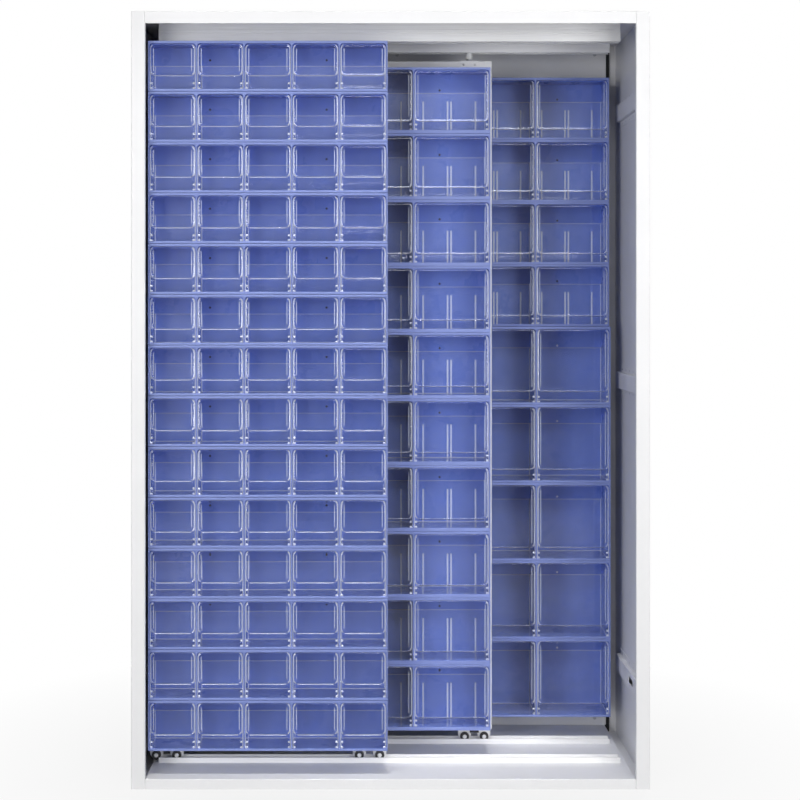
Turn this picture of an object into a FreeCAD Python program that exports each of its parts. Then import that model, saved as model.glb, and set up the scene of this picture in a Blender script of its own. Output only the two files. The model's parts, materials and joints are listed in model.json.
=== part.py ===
"""Open-fronted sheet-steel parts cabinet with three layers of tilt-out bins.

Two half-width banks of bins roll sideways on floor rails, one behind the other, in front of a
full-width bank that is fixed to the back wall. X runs right, Y back and Z up, and the origin is
under the middle of the cabinet, on the surface that it stands on.
"""

import FreeCAD, Part
import math
import os
import re
import Sketcher

# Driving sizes in millimetres, and counts. A depth is measured back from the cabinet's front.
SIZES = {
    # Carcass of folded sheet
    "cabinet_width": 1280,
    "cabinet_depth": 540,
    "cabinet_height": 1920,
    "sheet_gauge": 1.2,
    "post_width": 34,
    "post_lip": 15,
    "rear_flange": 20,
    "top_fascia": 30,
    "floor_height": 25,
    "back_tray": 22.8,
    "back_gap": 11,
    # Hat-section stiffeners on the side walls
    "hat_face": 45,
    "hat_proud": 12,
    "hat_flange": 15,
    "hat_gauge": 1.2,
    "hat_setback": 20,
    "hat_rear_gap": 90,
    "hat_low": 217,
    "hat_mid": 990,
    "hat_top_gap": 202,
    "hat_slot_length": 60,
    "hat_slot_height": 16,
    "hat_slot_depth": 212,
    # Gaps from front to back between the post fronts, the banks and the rear bank
    "front_setback": 38,
    "bank_gap": 27,
    "rear_gap": 10,
    # A floor rail and a top guide in the lane of each sliding bank
    "rail_end_gap": 16,
    "rail_width": 33,
    "rail_height": 13,
    "rail_wall": 2,
    "rail_web": 5,
    "guide_drop": 50.8,
    "guide_width": 33,
    "guide_box": 31,
    "guide_neck": 25,
    "guide_gauge": 1.5,
    "guide_groove": 1,
    "guide_channel": 22,
    # Cassettes: small, medium and large rows of cells, shallower or deeper than an even layer
    "rear_side_gap": 7.5,
    "rear_column_gap": 3,
    "cassette_wall": 3,
    "divider_wall": 3,
    "cassette_skin": 2.5,
    "cell_lip": 3.4,
    "lip_wall": 2.5,
    "small_depth_cut": 20,
    "small_cells": 5,
    "medium_depth_cut": 2,
    "medium_cells": 3,
    "large_depth_gain": 23,
    "large_cells": 3,
    # Bins, each turning on its bevelled bottom front edge behind the lip of its cell
    "bin_wall": 1.8,
    "bin_side_gap": 0.9,
    "bin_headroom": 4,
    "bin_back_gap": 5,
    "hinge_roll": 4.5,
    "hinge_gap": 0.6,
    "hinge_bevel": 2.6,
    "tilt_angle": 35,
    # Rows of each bank between its base and its headroom under the ceiling, and gaps between rows
    "front_rows": 14,
    "front_base": 84,
    "front_headroom": 66,
    "front_row_gap": 0.8,
    "front_side_gap": 2.3,
    "middle_rows": 10,
    "middle_base": 96,
    "middle_headroom": 108.15,
    "middle_row_gap": 3.85,
    "middle_skirt": 3.4,
    "middle_open": 269,
    "rear_large_rows": 5,
    "rear_medium_rows": 4,
    "rear_base": 86.5,
    "rear_headroom": 108.6,
    "rear_large_gap": 0.5,
    "rear_medium_gap": 0.4,
    # Rolling frames that carry the two sliding banks
    "frame_margin": 15,
    "frame_bottom": 62,
    "frame_gap": 23,
    "frame_tube": 25,
    "frame_shift": 6,
    # Bogies, wheels and guide pins
    "bogie_inset": 46,
    "bogie_plate": 6,
    "bogie_low": 31.5,
    "bogie_notch": 50,
    "lobe_width": 34,
    "lobe_round": 15,
    "axle_radius": 3,
    "axle_end": 1.5,
    "axle_fit": 0.05,
    "wheel_radius": 11.7,
    "wheel_width": 9,
    "wheel_spacing": 52,
    "wheel_gap": 1.5,
    "wheel_lift": 0.3,
    "pin_inset": 60,
    "pin_radius": 9.35,
    "pin_gap": 0.5,
    "pin_length": 39,
    "stud_radius": 5,
    "stud_length": 8,
    # How far a cut runs past the face that it opens
    "overrun": 5,
}

# Sizes that follow from those above, as formulas for the sheet
FOLLOWING = {
    # Across: two columns of cassettes fill the opening, and the frames reach past their cassettes
    "cassette_width": "cabinet_width / 2 - post_width - rear_side_gap - rear_column_gap / 2",
    "front_centre": "post_width + front_side_gap + cassette_width / 2 - cabinet_width / 2",
    "middle_centre": "front_centre + middle_open",
    "rail_length": "cabinet_width - 2 * (post_width + rail_end_gap)",
    "frame_width": "cassette_width + frame_margin",
    "bogie_offset": "frame_width / 2 - bogie_inset",
    "pin_offset": "frame_width / 2 - pin_inset",
    # From front to back: three layers of cassettes, two frames and the gaps between them
    "clear_depth": "cabinet_depth - front_setback - bank_gap - rear_gap - back_tray - sheet_gauge",
    "spare_depth": "small_depth_cut + medium_depth_cut - large_depth_gain",
    "layer_depth": "(clear_depth - 2 * frame_tube + spare_depth) / 3",
    "small_depth": "layer_depth - small_depth_cut",
    "medium_depth": "layer_depth - medium_depth_cut",
    "large_depth": "layer_depth + large_depth_gain",
    "hat_reach": "cabinet_depth - hat_setback - hat_rear_gap",
    # Up: rows of cassettes, the top stiffeners and the frames
    "ceiling": "cabinet_height - sheet_gauge",
    "front_rise": "ceiling - front_headroom - front_base",
    "front_pitch": "(front_rise + front_row_gap) / front_rows",
    "small_height": "front_pitch - front_row_gap",
    "middle_rise": "ceiling - middle_headroom - middle_base",
    "middle_pitch": "(middle_rise + middle_row_gap) / middle_rows",
    "medium_height": "middle_pitch - middle_row_gap",
    "rear_rise": "ceiling - rear_headroom - rear_base",
    "rear_medium_pitch": "medium_height + rear_medium_gap",
    "rear_medium_rise": "rear_medium_rows * rear_medium_pitch - rear_medium_gap",
    "rear_large_pitch": "(rear_rise - rear_medium_rise) / rear_large_rows",
    "large_height": "rear_large_pitch - rear_large_gap",
    "hat_high": "cabinet_height - hat_top_gap",
    "frame_top": "ceiling - guide_drop - frame_gap",
}

SHEET_NAME = "Sizes"
WORD = re.compile(r"[a-z_]+")

# Places that several pieces share, as expressions in the sizes above
FRONT = "(-cabinet_depth / 2)"
BACK = "(cabinet_depth / 2)"
OPENING = "(cabinet_width / 2 - post_width)"
WALL_FACE = "(cabinet_width / 2 - sheet_gauge)"
BACK_FACE = "(cabinet_depth / 2 - sheet_gauge - back_tray)"
FRONT_LANE = f"({FRONT} + front_setback + small_depth + frame_tube / 2)"
MIDDLE_LANE = f"({FRONT_LANE} + bank_gap + medium_depth + frame_tube)"
WHEEL_HEIGHT = "(floor_height + rail_web + wheel_lift + wheel_radius)"
HINGE_RISE = "(cassette_skin + hinge_gap + hinge_roll)"
HINGE_DEPTH = "(lip_wall + hinge_gap + hinge_roll)"
REAR_LARGE_TOP = "(rear_base + rear_large_rows * rear_large_pitch)"

doc = FreeCAD.newDocument("PartsCabinet")
sub_parts = {}


def fill_sheet():
    """The sizes in a spreadsheet, each under its own alias, and the formulas of those that follow."""
    sheet = doc.addObject("Spreadsheet::Sheet", SHEET_NAME)
    cells = {alias: str(value) for alias, value in SIZES.items()}
    cells |= {alias: f"={formula}" for alias, formula in FOLLOWING.items()}
    for row, (alias, content) in enumerate(cells.items(), start=1):
        sheet.set(f"A{row}", alias)
        sheet.set(f"B{row}", content)
        sheet.setAlias(f"B{row}", alias)
    doc.recompute()


def bound(expression):
    """An expression with every size in it read from the sheet."""
    known = SIZES.keys() | FOLLOWING.keys()
    return WORD.sub(lambda word: f"{SHEET_NAME}.{word[0]}" if word[0] in known else word[0], expression)


def new_body(name):
    return doc.addObject("PartDesign::Body", name)


def new_sketch(body, name, plane, offset="0"):
    """An empty sketch on an origin plane of its body, moved by offset along the plane's normal."""
    sketch = body.newObject("Sketcher::SketchObject", name)
    support = next(f for f in body.Origin.OriginFeatures if f.Role == plane)
    sketch.AttachmentSupport = (support, [""])
    sketch.MapMode = "FlatFace"
    sketch.setExpression(".AttachmentOffset.Base.z", bound(offset))
    return sketch


def pin_point(sketch, geometry, position, place):
    """Hold one point of a sketch at a pair of expressions from the sketch's origin."""
    for kind, expression in zip(("DistanceX", "DistanceY"), place):
        number = sketch.addConstraint(Sketcher.Constraint(kind, -1, 1, geometry, position, 1.0))
        sketch.setExpression(f"Constraints[{number}]", bound(expression))


def add_loop(sketch, corners):
    """A closed outline of straight lines through corners given as pairs of expressions."""
    turn = 2 * math.pi / len(corners)
    rough = [FreeCAD.Vector(math.cos(turn * n), math.sin(turn * n)) for n in range(len(corners))]
    lines = [Part.LineSegment(a, b) for a, b in zip(rough, rough[1:] + rough[:1])]
    numbers = [sketch.addGeometry(line, False) for line in lines]
    for here, after in zip(numbers, numbers[1:] + numbers[:1]):
        sketch.addConstraint(Sketcher.Constraint("Coincident", here, 2, after, 1))
    for number, corner in zip(numbers, corners):
        pin_point(sketch, number, 1, corner)
    return sketch


def add_circle(sketch, centre, radius):
    number = sketch.addGeometry(Part.Circle(), False)
    pin_point(sketch, number, 3, centre)
    held = sketch.addConstraint(Sketcher.Constraint("Radius", number, 1.0))
    sketch.setExpression(f"Constraints[{held}]", bound(radius))
    return sketch


def box_corners(left, right, low, high):
    return [(left, low), (right, low), (right, high), (left, high)]


def feature(body, kind, name, sketch, length, both_ways=False, turned=False):
    """A pad or pocket of a sketch, one way or evenly both ways."""
    made = body.newObject(f"PartDesign::{kind}", name)
    made.Profile = sketch
    made.setExpression("Length", bound(length))
    made.SideType = "Symmetric" if both_ways else "One side"
    made.Reversed = turned
    sketch.Visibility = False
    doc.recompute()
    return made


def revolve(body, name, sketch, axis):
    made = body.newObject("PartDesign::Revolution", name)
    made.Profile = sketch
    made.ReferenceAxis = (sketch, [axis])
    doc.recompute()
    return made


def dress_edges(body, kind, name, base, axis, measure, amount):
    """A fillet or chamfer on those straight edges along an axis whose measure() is least."""
    edges = [
        (measure(edge.CenterOfMass), f"Edge{n}")
        for n, edge in enumerate(base.Shape.Edges, start=1) if runs_along(edge, axis)]
    least = min(edges)[0]
    made = body.newObject(f"PartDesign::{kind}", name)
    made.Base = (base, [edge for size, edge in edges if math.isclose(size, least)])
    made.setExpression("Radius" if kind == "Fillet" else "Size", bound(amount))
    doc.recompute()
    return made


def runs_along(edge, axis):
    """Does a straight edge run along the given axis?"""
    ends = [vertex.Point for vertex in edge.Vertexes]
    if len(ends) < 2 or not isinstance(edge.Curve, Part.Line):
        return False
    return abs((ends[1] - ends[0]).normalize().dot(axis)) > math.cos(math.radians(1))


def placed(master, label, place):
    """A link to a master piece, with its place bound to the sheet."""
    link = doc.addObject("App::Link", label)
    link.LinkedObject = master
    for axis, expression in zip("xyz", place):
        link.setExpression(f".Placement.Base.{axis}", bound(expression))
    return link


def node(label, piece):
    """Name a finished sub-part."""
    piece.Label = label
    sub_parts[label] = piece
    return piece


def group(label, copies):
    """A sub-part made of separate like pieces: copies is a list of (master, place)."""
    compound = doc.addObject("Part::Compound", label)
    compound.Links = [placed(master, f"{label}_piece", place) for master, place in copies]
    return node(label, compound)


def mirrored(label, source):
    mirror = doc.addObject("Part::Mirroring", label)
    mirror.Source = source
    mirror.Normal = FreeCAD.Vector(1, 0, 0)
    return node(label, mirror)


def make_side():
    """A side wall: a folded channel with a front post, its lip, a rear flange and end flanges."""
    body = new_body("SideWall")
    outer, inner = "(-cabinet_width / 2)", f"(-{WALL_FACE})"
    post, lip = f"(-{OPENING})", f"(-{OPENING} - sheet_gauge)"
    rear = "(-cabinet_width / 2 + rear_flange)"
    front_inside, back_inside = f"({FRONT} + sheet_gauge)", f"({BACK} - sheet_gauge)"
    section = new_sketch(body, "WallSection", "XY_Plane")
    add_loop(section, [
        (outer, FRONT), (post, FRONT), (post, f"{FRONT} + post_lip"), (lip, f"{FRONT} + post_lip"),
        (lip, front_inside), (inner, front_inside), (inner, back_inside), (rear, back_inside),
        (rear, BACK), (outer, BACK),
    ])
    feature(body, "Pad", "Wall", section, "cabinet_height")
    for name, foot in (("BottomFlange", "0"), ("TopFlange", "ceiling")):
        flange = new_sketch(body, f"{name}Outline", "XY_Plane", foot)
        add_loop(flange, box_corners(outer, post, front_inside, back_inside))
        feature(body, "Pad", name, flange, "sheet_gauge")
    return body


def make_top():
    """The top panel: a sheet with a front fascia and a rear flange folded down."""
    body = new_body("TopPanel")
    section = new_sketch(body, "TopSection", "YZ_Plane")
    low = "(cabinet_height - top_fascia)"
    front_inside, back_inside = f"({FRONT} + sheet_gauge)", f"({BACK} - sheet_gauge)"
    add_loop(section, [
        (FRONT, low), (front_inside, low), (front_inside, "ceiling"), (back_inside, "ceiling"),
        (back_inside, low), (BACK, low), (BACK, "cabinet_height"), (FRONT, "cabinet_height"),
    ])
    feature(body, "Pad", "TopSheet", section, f"2 * {OPENING}", both_ways=True)
    return body


def make_bottom():
    """The bottom tray: the floor sheet with all four edges folded down to the ground."""
    body = new_body("BottomPanel")
    block = new_sketch(body, "FloorOutline", "XY_Plane")
    add_loop(block, box_corners(f"-{OPENING}", OPENING, FRONT, BACK))
    feature(body, "Pad", "FloorBlock", block, "floor_height")
    hollow = new_sketch(body, "FloorHollow", "XY_Plane")
    add_loop(hollow, box_corners(
        f"-{OPENING} + sheet_gauge", f"{OPENING} - sheet_gauge",
        f"{FRONT} + sheet_gauge", f"{BACK} - sheet_gauge"))
    feature(body, "Pocket", "UnderFloor", hollow, "floor_height - sheet_gauge", turned=True)
    return body


def make_back():
    """The back tray: a sheet between floor and ceiling with its edges folded to the rear."""
    body = new_body("BackPanel")
    side = "(cabinet_width / 2 - rear_flange - back_gap)"
    rear_plane = f"-({BACK} - sheet_gauge)"
    block = new_sketch(body, "BackOutline", "XZ_Plane", rear_plane)
    add_loop(block, box_corners(f"-{side}", side, "floor_height", "ceiling"))
    feature(body, "Pad", "BackBlock", block, "back_tray")
    hollow = new_sketch(body, "BackHollow", "XZ_Plane", rear_plane)
    add_loop(hollow, box_corners(
        f"-{side} + sheet_gauge", f"{side} - sheet_gauge",
        "floor_height + sheet_gauge", "ceiling - sheet_gauge"))
    feature(body, "Pocket", "BehindBack", hollow, "back_tray - sheet_gauge", turned=True)
    return body


def make_hat(name, slotted):
    """A hat-section stiffener for the left wall, centred on its height."""
    body = new_body(name)
    wall, skin = f"(-{WALL_FACE})", f"(-{WALL_FACE} + hat_gauge)"
    proud, under = f"(-{WALL_FACE} + hat_proud)", f"(-{WALL_FACE} + hat_proud - hat_gauge)"
    face, edge = "(hat_face / 2)", "(hat_face / 2 + hat_flange)"
    inside = "(hat_face / 2 - hat_gauge)"
    half = [(wall, edge), (skin, edge), (skin, face), (proud, face)]
    hollow = [(under, inside), (wall, inside)]
    below = [(x, f"-{z}") for x, z in half]
    hollow_below = [(x, f"-{z}") for x, z in hollow]
    section = new_sketch(body, f"{name}Section", "XZ_Plane", f"-({FRONT} + hat_setback)")
    add_loop(section, half + below[::-1] + hollow_below[::-1] + hollow)
    feature(body, "Pad", f"{name}Fold", section, "hat_reach", turned=True)
    if slotted:
        centre = f"({FRONT} + hat_slot_depth)"
        slot = new_sketch(body, f"{name}SlotOutline", "YZ_Plane", proud)
        add_loop(slot, box_corners(
            f"{centre} - hat_slot_length / 2", f"{centre} + hat_slot_length / 2",
            "-hat_slot_height / 2", "hat_slot_height / 2"))
        feature(body, "Pocket", f"{name}Slot", slot, "hat_proud / 2")
    return body


def make_guide():
    """A top guide: a box neck under the ceiling over a channel slotted along its underside."""
    body = new_body("TopGuide")
    half, neck = "(guide_width / 2)", "(guide_neck / 2)"
    slot = "(pin_radius + pin_gap)"
    base = "(-guide_drop)"
    shoulder = f"({base} + guide_box)"
    roof = f"({base} + guide_channel)"
    groove = f"({roof} - guide_groove)"
    right = [
        (slot, base), (half, base), (half, groove), (f"{half} - guide_groove", roof),
        (half, f"{roof} + guide_groove"), (half, shoulder), (neck, shoulder), (neck, "0"),
    ]
    inside = [
        (f"{half} - guide_gauge - guide_groove", f"{roof} - guide_gauge"),
        (f"{half} - guide_gauge - guide_groove", f"{base} + guide_gauge"),
        (slot, f"{base} + guide_gauge"),
    ]
    left = [(f"-({y})", z) for y, z in reversed(right)]
    inside_left = [(f"-({y})", z) for y, z in reversed(inside)]
    section = new_sketch(body, "GuideSection", "YZ_Plane")
    add_loop(section, right + left + inside_left + inside)
    add_loop(section, box_corners(
        f"-{neck} + guide_gauge", f"{neck} - guide_gauge", f"{roof} + guide_gauge", "-guide_gauge"))
    feature(body, "Pad", "GuideLength", section, "rail_length", both_ways=True)
    return body


def make_rail():
    """A floor rail: a low channel with a raised web that the wheels run on."""
    body = new_body("FloorRail")
    half, groove = "(rail_width / 2)", "(rail_width / 2 - rail_wall)"
    section = new_sketch(body, "RailSection", "YZ_Plane")
    add_loop(section, [
        (f"-{half}", "0"), (half, "0"), (half, "rail_height"), (groove, "rail_height"),
        (groove, "rail_web"), (f"-{groove}", "rail_web"), (f"-{groove}", "rail_height"),
        (f"-{half}", "rail_height"),
    ])
    feature(body, "Pad", "RailLength", section, "rail_length", both_ways=True)
    return body


def cell_width(size):
    return (f"((cassette_width - 2 * cassette_wall - ({size}_cells - 1) * divider_wall)"
            f" / {size}_cells)")


def cell_pitch(size):
    return f"({cell_width(size)} + divider_wall)"


def cell_centre(size, column):
    """Where a cell of a cassette is across its width, from the cassette's middle."""
    return f"((({column}) - ({size}_cells - 1) / 2) * {cell_pitch(size)})"


def make_cassette(size, name, base="0"):
    """A cassette: a moulded block with a row of open-fronted cells, each with a low front lip.

    Its base is where its underside is: under zero where it has a skirt down to the next one.
    """
    body = new_body(f"{name}Cassette")
    depth, height = f"{size}_depth", f"{size}_height"
    block = new_sketch(body, f"{name}Outline", "XZ_Plane")
    add_loop(block, box_corners("-cassette_width / 2", "cassette_width / 2", base, height))
    feature(body, "Pad", f"{name}Block", block, depth, turned=True)
    floor, roof = "cassette_skin", f"{height} - cassette_skin"
    lip, rear = "cassette_skin + cell_lip", f"{depth} - cassette_skin"
    profile = new_sketch(body, f"{name}CellProfile", "YZ_Plane", cell_centre(size, 0))
    add_loop(profile, [
        ("-overrun", lip), ("lip_wall", lip), ("lip_wall", floor), (rear, floor), (rear, roof),
        ("-overrun", roof),
    ])
    cell = feature(body, "Pocket", f"{name}Cell", profile, cell_width(size), both_ways=True)
    row = body.newObject("PartDesign::LinearPattern", f"{name}CellRow")
    row.Originals = [cell]
    row.Direction = (profile, ["N_Axis"])
    row.setExpression("Length", bound(f"({size}_cells - 1) * {cell_pitch(size)}"))
    row.setExpression("Occurrences", bound(f"{size}_cells"))
    body.Tip = row
    doc.recompute()
    return body


def make_bin(size):
    """A bin: an open tub that tilts about its bottom front edge, where its own origin is.

    The edge is bevelled so that it turns behind the lip of its cell, and the back is only as
    high as lets it pass under the cell's roof when the bin is fully tilted.
    """
    name = f"{size.title()}Bin"
    body = new_body(name)
    front = f"({size}_height - cassette_skin - {HINGE_RISE} - bin_headroom)"
    reach = f"({size}_depth - cassette_skin - {HINGE_DEPTH} - bin_back_gap)"
    back = f"(({front} - {reach} * sin(tilt_angle)) / cos(tilt_angle))"
    width = f"({cell_width(size)} - 2 * bin_side_gap)"
    face, base = "(-hinge_roll)", "(-hinge_roll)"
    profile = new_sketch(body, f"{name}Profile", "YZ_Plane")
    add_loop(profile, [(face, front), (face, base), (reach, base), (reach, back)])
    tub = feature(body, "Pad", f"{name}Tub", profile, width, both_ways=True)
    dress_edges(
        body, "Chamfer", f"{name}Edge", tub, FreeCAD.Vector(1, 0, 0), lambda at: at.y + at.z,
        "hinge_bevel")
    inner_face, inner_base = f"({face} + bin_wall)", f"({base} + bin_wall)"
    hollow = new_sketch(body, f"{name}Hollow", "YZ_Plane")
    add_loop(hollow, box_corners(inner_face, f"{reach} - bin_wall", inner_base, f"{front} + overrun"))
    feature(body, "Pocket", f"{name}Inside", hollow, f"{width} - 2 * bin_wall", both_ways=True)
    return body


def make_frame(name, upright):
    """A rolling frame of square tube with two inner uprights, which the cassettes are screwed to."""
    body = new_body(name)
    half, inner = "(frame_width / 2)", "(frame_width / 2 - frame_tube)"
    low, high = "(frame_bottom + frame_tube)", "(frame_top - frame_tube)"
    near, far = f"({upright} - frame_tube / 2)", f"({upright} + frame_tube / 2)"
    outline = new_sketch(body, f"{name}Outline", "XZ_Plane")
    add_loop(outline, box_corners(f"-{half}", half, "frame_bottom", "frame_top"))
    for left, right in ((f"-{inner}", f"-{far}"), (f"-{near}", near), (far, inner)):
        add_loop(outline, box_corners(left, right, low, high))
    feature(body, "Pad", f"{name}Tubes", outline, "frame_tube", turned=True)
    return body


def make_bogie():
    """A bogie: a plate with two round lobes below, each carrying the axle of a wheel."""
    body = new_body("Bogie")
    axle, lobe = "(wheel_spacing / 2)", "(lobe_width / 2)"
    end, gap = f"({axle} + {lobe})", f"({axle} - {lobe})"
    right = [(gap, "bogie_notch"), (gap, "bogie_low"), (end, "bogie_low"), (end, "frame_bottom")]
    left = [(f"-{x}", z) for x, z in reversed(right)]
    outline = new_sketch(body, "BogieOutline", "XZ_Plane")
    add_loop(outline, right + left)
    plate = feature(body, "Pad", "BogiePlate", outline, "bogie_plate", turned=True)
    dress_edges(
        body, "Fillet", "Lobes", plate, FreeCAD.Vector(0, 1, 0), lambda at: at.z, "lobe_round")
    axles = new_sketch(body, "AxleOutline", "XZ_Plane")
    for side in ("-", ""):
        add_circle(axles, (f"{side}{axle}", WHEEL_HEIGHT), "axle_radius")
    feature(body, "Pad", "Axles", axles, "wheel_gap + wheel_width + axle_end")
    return body


def make_wheel():
    """A wheel turned about Y, centred on its axle."""
    body = new_body("Wheel")
    bore, edge = "(axle_radius + axle_fit)", "(wheel_width / 2)"
    section = new_sketch(body, "WheelSection", "YZ_Plane")
    add_loop(section, box_corners(f"-{edge}", edge, bore, "wheel_radius"))
    revolve(body, "WheelTurn", section, "H_Axis")
    return body


def make_pin():
    """A guide pin: a stud on top of the frame with a thicker nylon sleeve that runs in the guide."""
    body = new_body("GuidePin")
    section = new_sketch(body, "PinSection", "XZ_Plane")
    add_loop(section, [
        ("0", "0"), ("stud_radius", "0"), ("stud_radius", "stud_length"),
        ("pin_radius", "stud_length"), ("pin_radius", "pin_length"), ("0", "pin_length"),
    ])
    revolve(body, "PinTurn", section, "V_Axis")
    return body


def make_carcass():
    """The fixed cabinet: walls, top, bottom, back, stiffeners, guides and rails."""
    left = node("left_side", make_side())
    mirrored("right_side", left)
    node("top_panel", make_top())
    node("bottom_panel", make_bottom())
    node("back_panel", make_back())
    plain, slotted = make_hat("Hat", False), make_hat("SlottedHat", True)
    left_hats = doc.addObject("Part::Compound", "LeftHats")
    left_hats.Links = [
        placed(slotted, "LowHat", ("0", "0", "hat_low")),
        placed(plain, "MidHat", ("0", "0", "hat_mid")),
        placed(plain, "HighHat", ("0", "0", "hat_high")),
    ]
    right_hats = doc.addObject("Part::Mirroring", "RightHats")
    right_hats.Source = left_hats
    right_hats.Normal = FreeCAD.Vector(1, 0, 0)
    hats = doc.addObject("Part::Compound", "side_stiffeners")
    hats.Links = [left_hats, right_hats]
    node("side_stiffeners", hats)
    guide, rail = make_guide(), make_rail()
    lanes = (FRONT_LANE, MIDDLE_LANE)
    group("top_guides", [(guide, ("0", lane, "ceiling")) for lane in lanes])
    group("bottom_rails", [(rail, ("0", lane, "floor_height")) for lane in lanes])


def make_running_gear(bank, lane, centre, bogie, wheel, pin):
    """Bogies, wheels and guide pins of a sliding bank. The frame's middle is at centre."""
    sides = ("-", "")
    group(f"{bank}_bogies", [
        (bogie, (f"{centre} + {side}bogie_offset", lane, "0")) for side in sides])
    group(f"{bank}_guide_pins", [
        (pin, (f"{centre} + {side}pin_offset", lane, "frame_top")) for side in sides])
    axle_places = [
        f"{centre} + {side}bogie_offset + {end}wheel_spacing / 2" for side in sides for end in sides]
    for number, across in enumerate(axle_places, start=1):
        group(f"{bank}_wheel_{number}", [
            (wheel, (across, f"{lane} - wheel_gap - wheel_width / 2", WHEEL_HEIGHT))])


def make_front_bank(cassette, tub, bogie, wheel, pin):
    """The front bank: small bins, with each row of them in a sub-part of its own."""
    face = f"({FRONT_LANE} - frame_tube / 2 - small_depth)"
    frame_centre = "(front_centre - frame_shift)"
    frame = make_frame("FrontFrame", f"({cell_pitch('small')} + frame_shift)")
    group("front_frame", [(frame, (frame_centre, f"{FRONT_LANE} - frame_tube / 2", "0"))])
    rows = range(SIZES["front_rows"])
    base = [f"(front_base + {row} * front_pitch)" for row in rows]
    group("front_cassettes", [(cassette, ("front_centre", face, base[row])) for row in rows])
    for row in rows:
        group(f"front_bins_{row + 1:02d}", [
            (tub, (f"front_centre + {cell_centre('small', column)}",
                   f"{face} + {HINGE_DEPTH}", f"{base[row]} + {HINGE_RISE}"))
            for column in range(SIZES["small_cells"])])
    make_running_gear("front", FRONT_LANE, frame_centre, bogie, wheel, pin)


def make_middle_bank(cassette, tub, bogie, wheel, pin):
    """The middle bank: medium bins. Those of its right column are sub-parts of their own."""
    face = f"({MIDDLE_LANE} - frame_tube / 2 - medium_depth)"
    frame_centre = "(middle_centre + frame_shift)"
    frame = make_frame("MiddleFrame", f"({cell_pitch('medium')} - frame_shift)")
    group("middle_frame", [(frame, (frame_centre, f"{MIDDLE_LANE} - frame_tube / 2", "0"))])
    rows = range(SIZES["middle_rows"])
    base = [f"(middle_base + {row} * middle_pitch)" for row in rows]
    group("middle_cassettes", [(cassette, ("middle_centre", face, base[row])) for row in rows])

    def place(row, column):
        return (f"middle_centre + {cell_centre('medium', column)}",
                f"{face} + {HINGE_DEPTH}", f"{base[row]} + {HINGE_RISE}")

    columns = range(SIZES["medium_cells"])
    for row in rows:
        group(f"middle_bin_{row + 1:02d}", [(tub, place(row, columns[-1]))])
    group("middle_bins_left", [
        (tub, place(row, column)) for row in rows for column in columns[:-1]])
    make_running_gear("middle", MIDDLE_LANE, frame_centre, bogie, wheel, pin)


def make_rear_bank(cassettes, tubs):
    """The fixed bank on the back wall: two columns of cassettes, large below and medium above."""
    column_centre = "((cassette_width + rear_column_gap) / 2)"
    rows = [("large", f"(rear_base + {row} * rear_large_pitch)")
            for row in range(SIZES["rear_large_rows"])]
    rows += [("medium", f"({REAR_LARGE_TOP} + {row} * rear_medium_pitch)")
             for row in range(SIZES["rear_medium_rows"])]
    group("rear_cassettes", [
        (cassettes[size], (f"{side}{column_centre}", f"{BACK_FACE} - {size}_depth", base))
        for size, base in rows for side in ("-", "")])
    left_bins = []
    for number, (size, base) in enumerate(rows, start=1):
        columns = range(SIZES[f"{size}_cells"])
        places = [
            (f"{side}{column_centre} + {cell_centre(size, column)}",
             f"{BACK_FACE} - {size}_depth + {HINGE_DEPTH}", f"{base} + {HINGE_RISE}")
            for side in ("-", "") for column in columns]
        left_bins += [(tubs[size], place) for place in places[:-1]]
        group(f"rear_bin_{number:02d}", [(tubs[size], places[-1])])
    group("rear_bins_left", left_bins)


def check(label, piece):
    """Stop if a piece failed to build."""
    bad = {"Invalid", "Error"} & set(piece.State)
    if bad or piece.Shape.isNull() or not piece.Shape.isValid() or not piece.Shape.Solids:
        raise RuntimeError(f"{label} did not build: {piece.State}")


def main():
    fill_sheet()
    make_carcass()
    sizes = ("small", "medium", "large")
    cassettes = {size: make_cassette(size, size.title()) for size in sizes}
    skirted = make_cassette("medium", "Skirted", "-middle_skirt")
    tubs = {size: make_bin(size) for size in sizes}
    gear = make_bogie(), make_wheel(), make_pin()
    make_front_bank(cassettes["small"], tubs["small"], *gear)
    make_middle_bank(skirted, tubs["medium"], *gear)
    make_rear_bank(cassettes, tubs)
    doc.recompute()
    for piece in doc.Objects:
        if {"Invalid", "Error"} & set(piece.State):
            raise RuntimeError(f"{piece.Label} did not build: {piece.State}")
    for label, piece in sub_parts.items():
        check(label, piece)
    os.makedirs("parts", exist_ok=True)
    for label, piece in sub_parts.items():
        piece.Shape.exportStep(f"parts/{label}.step")
    print(f"{len(sub_parts)} sub-parts written")


main()
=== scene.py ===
"""Looks of an open-fronted parts cabinet with sliding banks of clear tilt-out bins.

The packed CAD frame is loaded first, and each operator dresses one kind of piece of it. Lengths
are in metres, X runs right, Y back and Z up, as in the frame.
"""

import json
import math

import bmesh
import bpy
from bpy.props import FloatProperty, FloatVectorProperty, PointerProperty
from mathutils import Matrix, Vector

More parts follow.
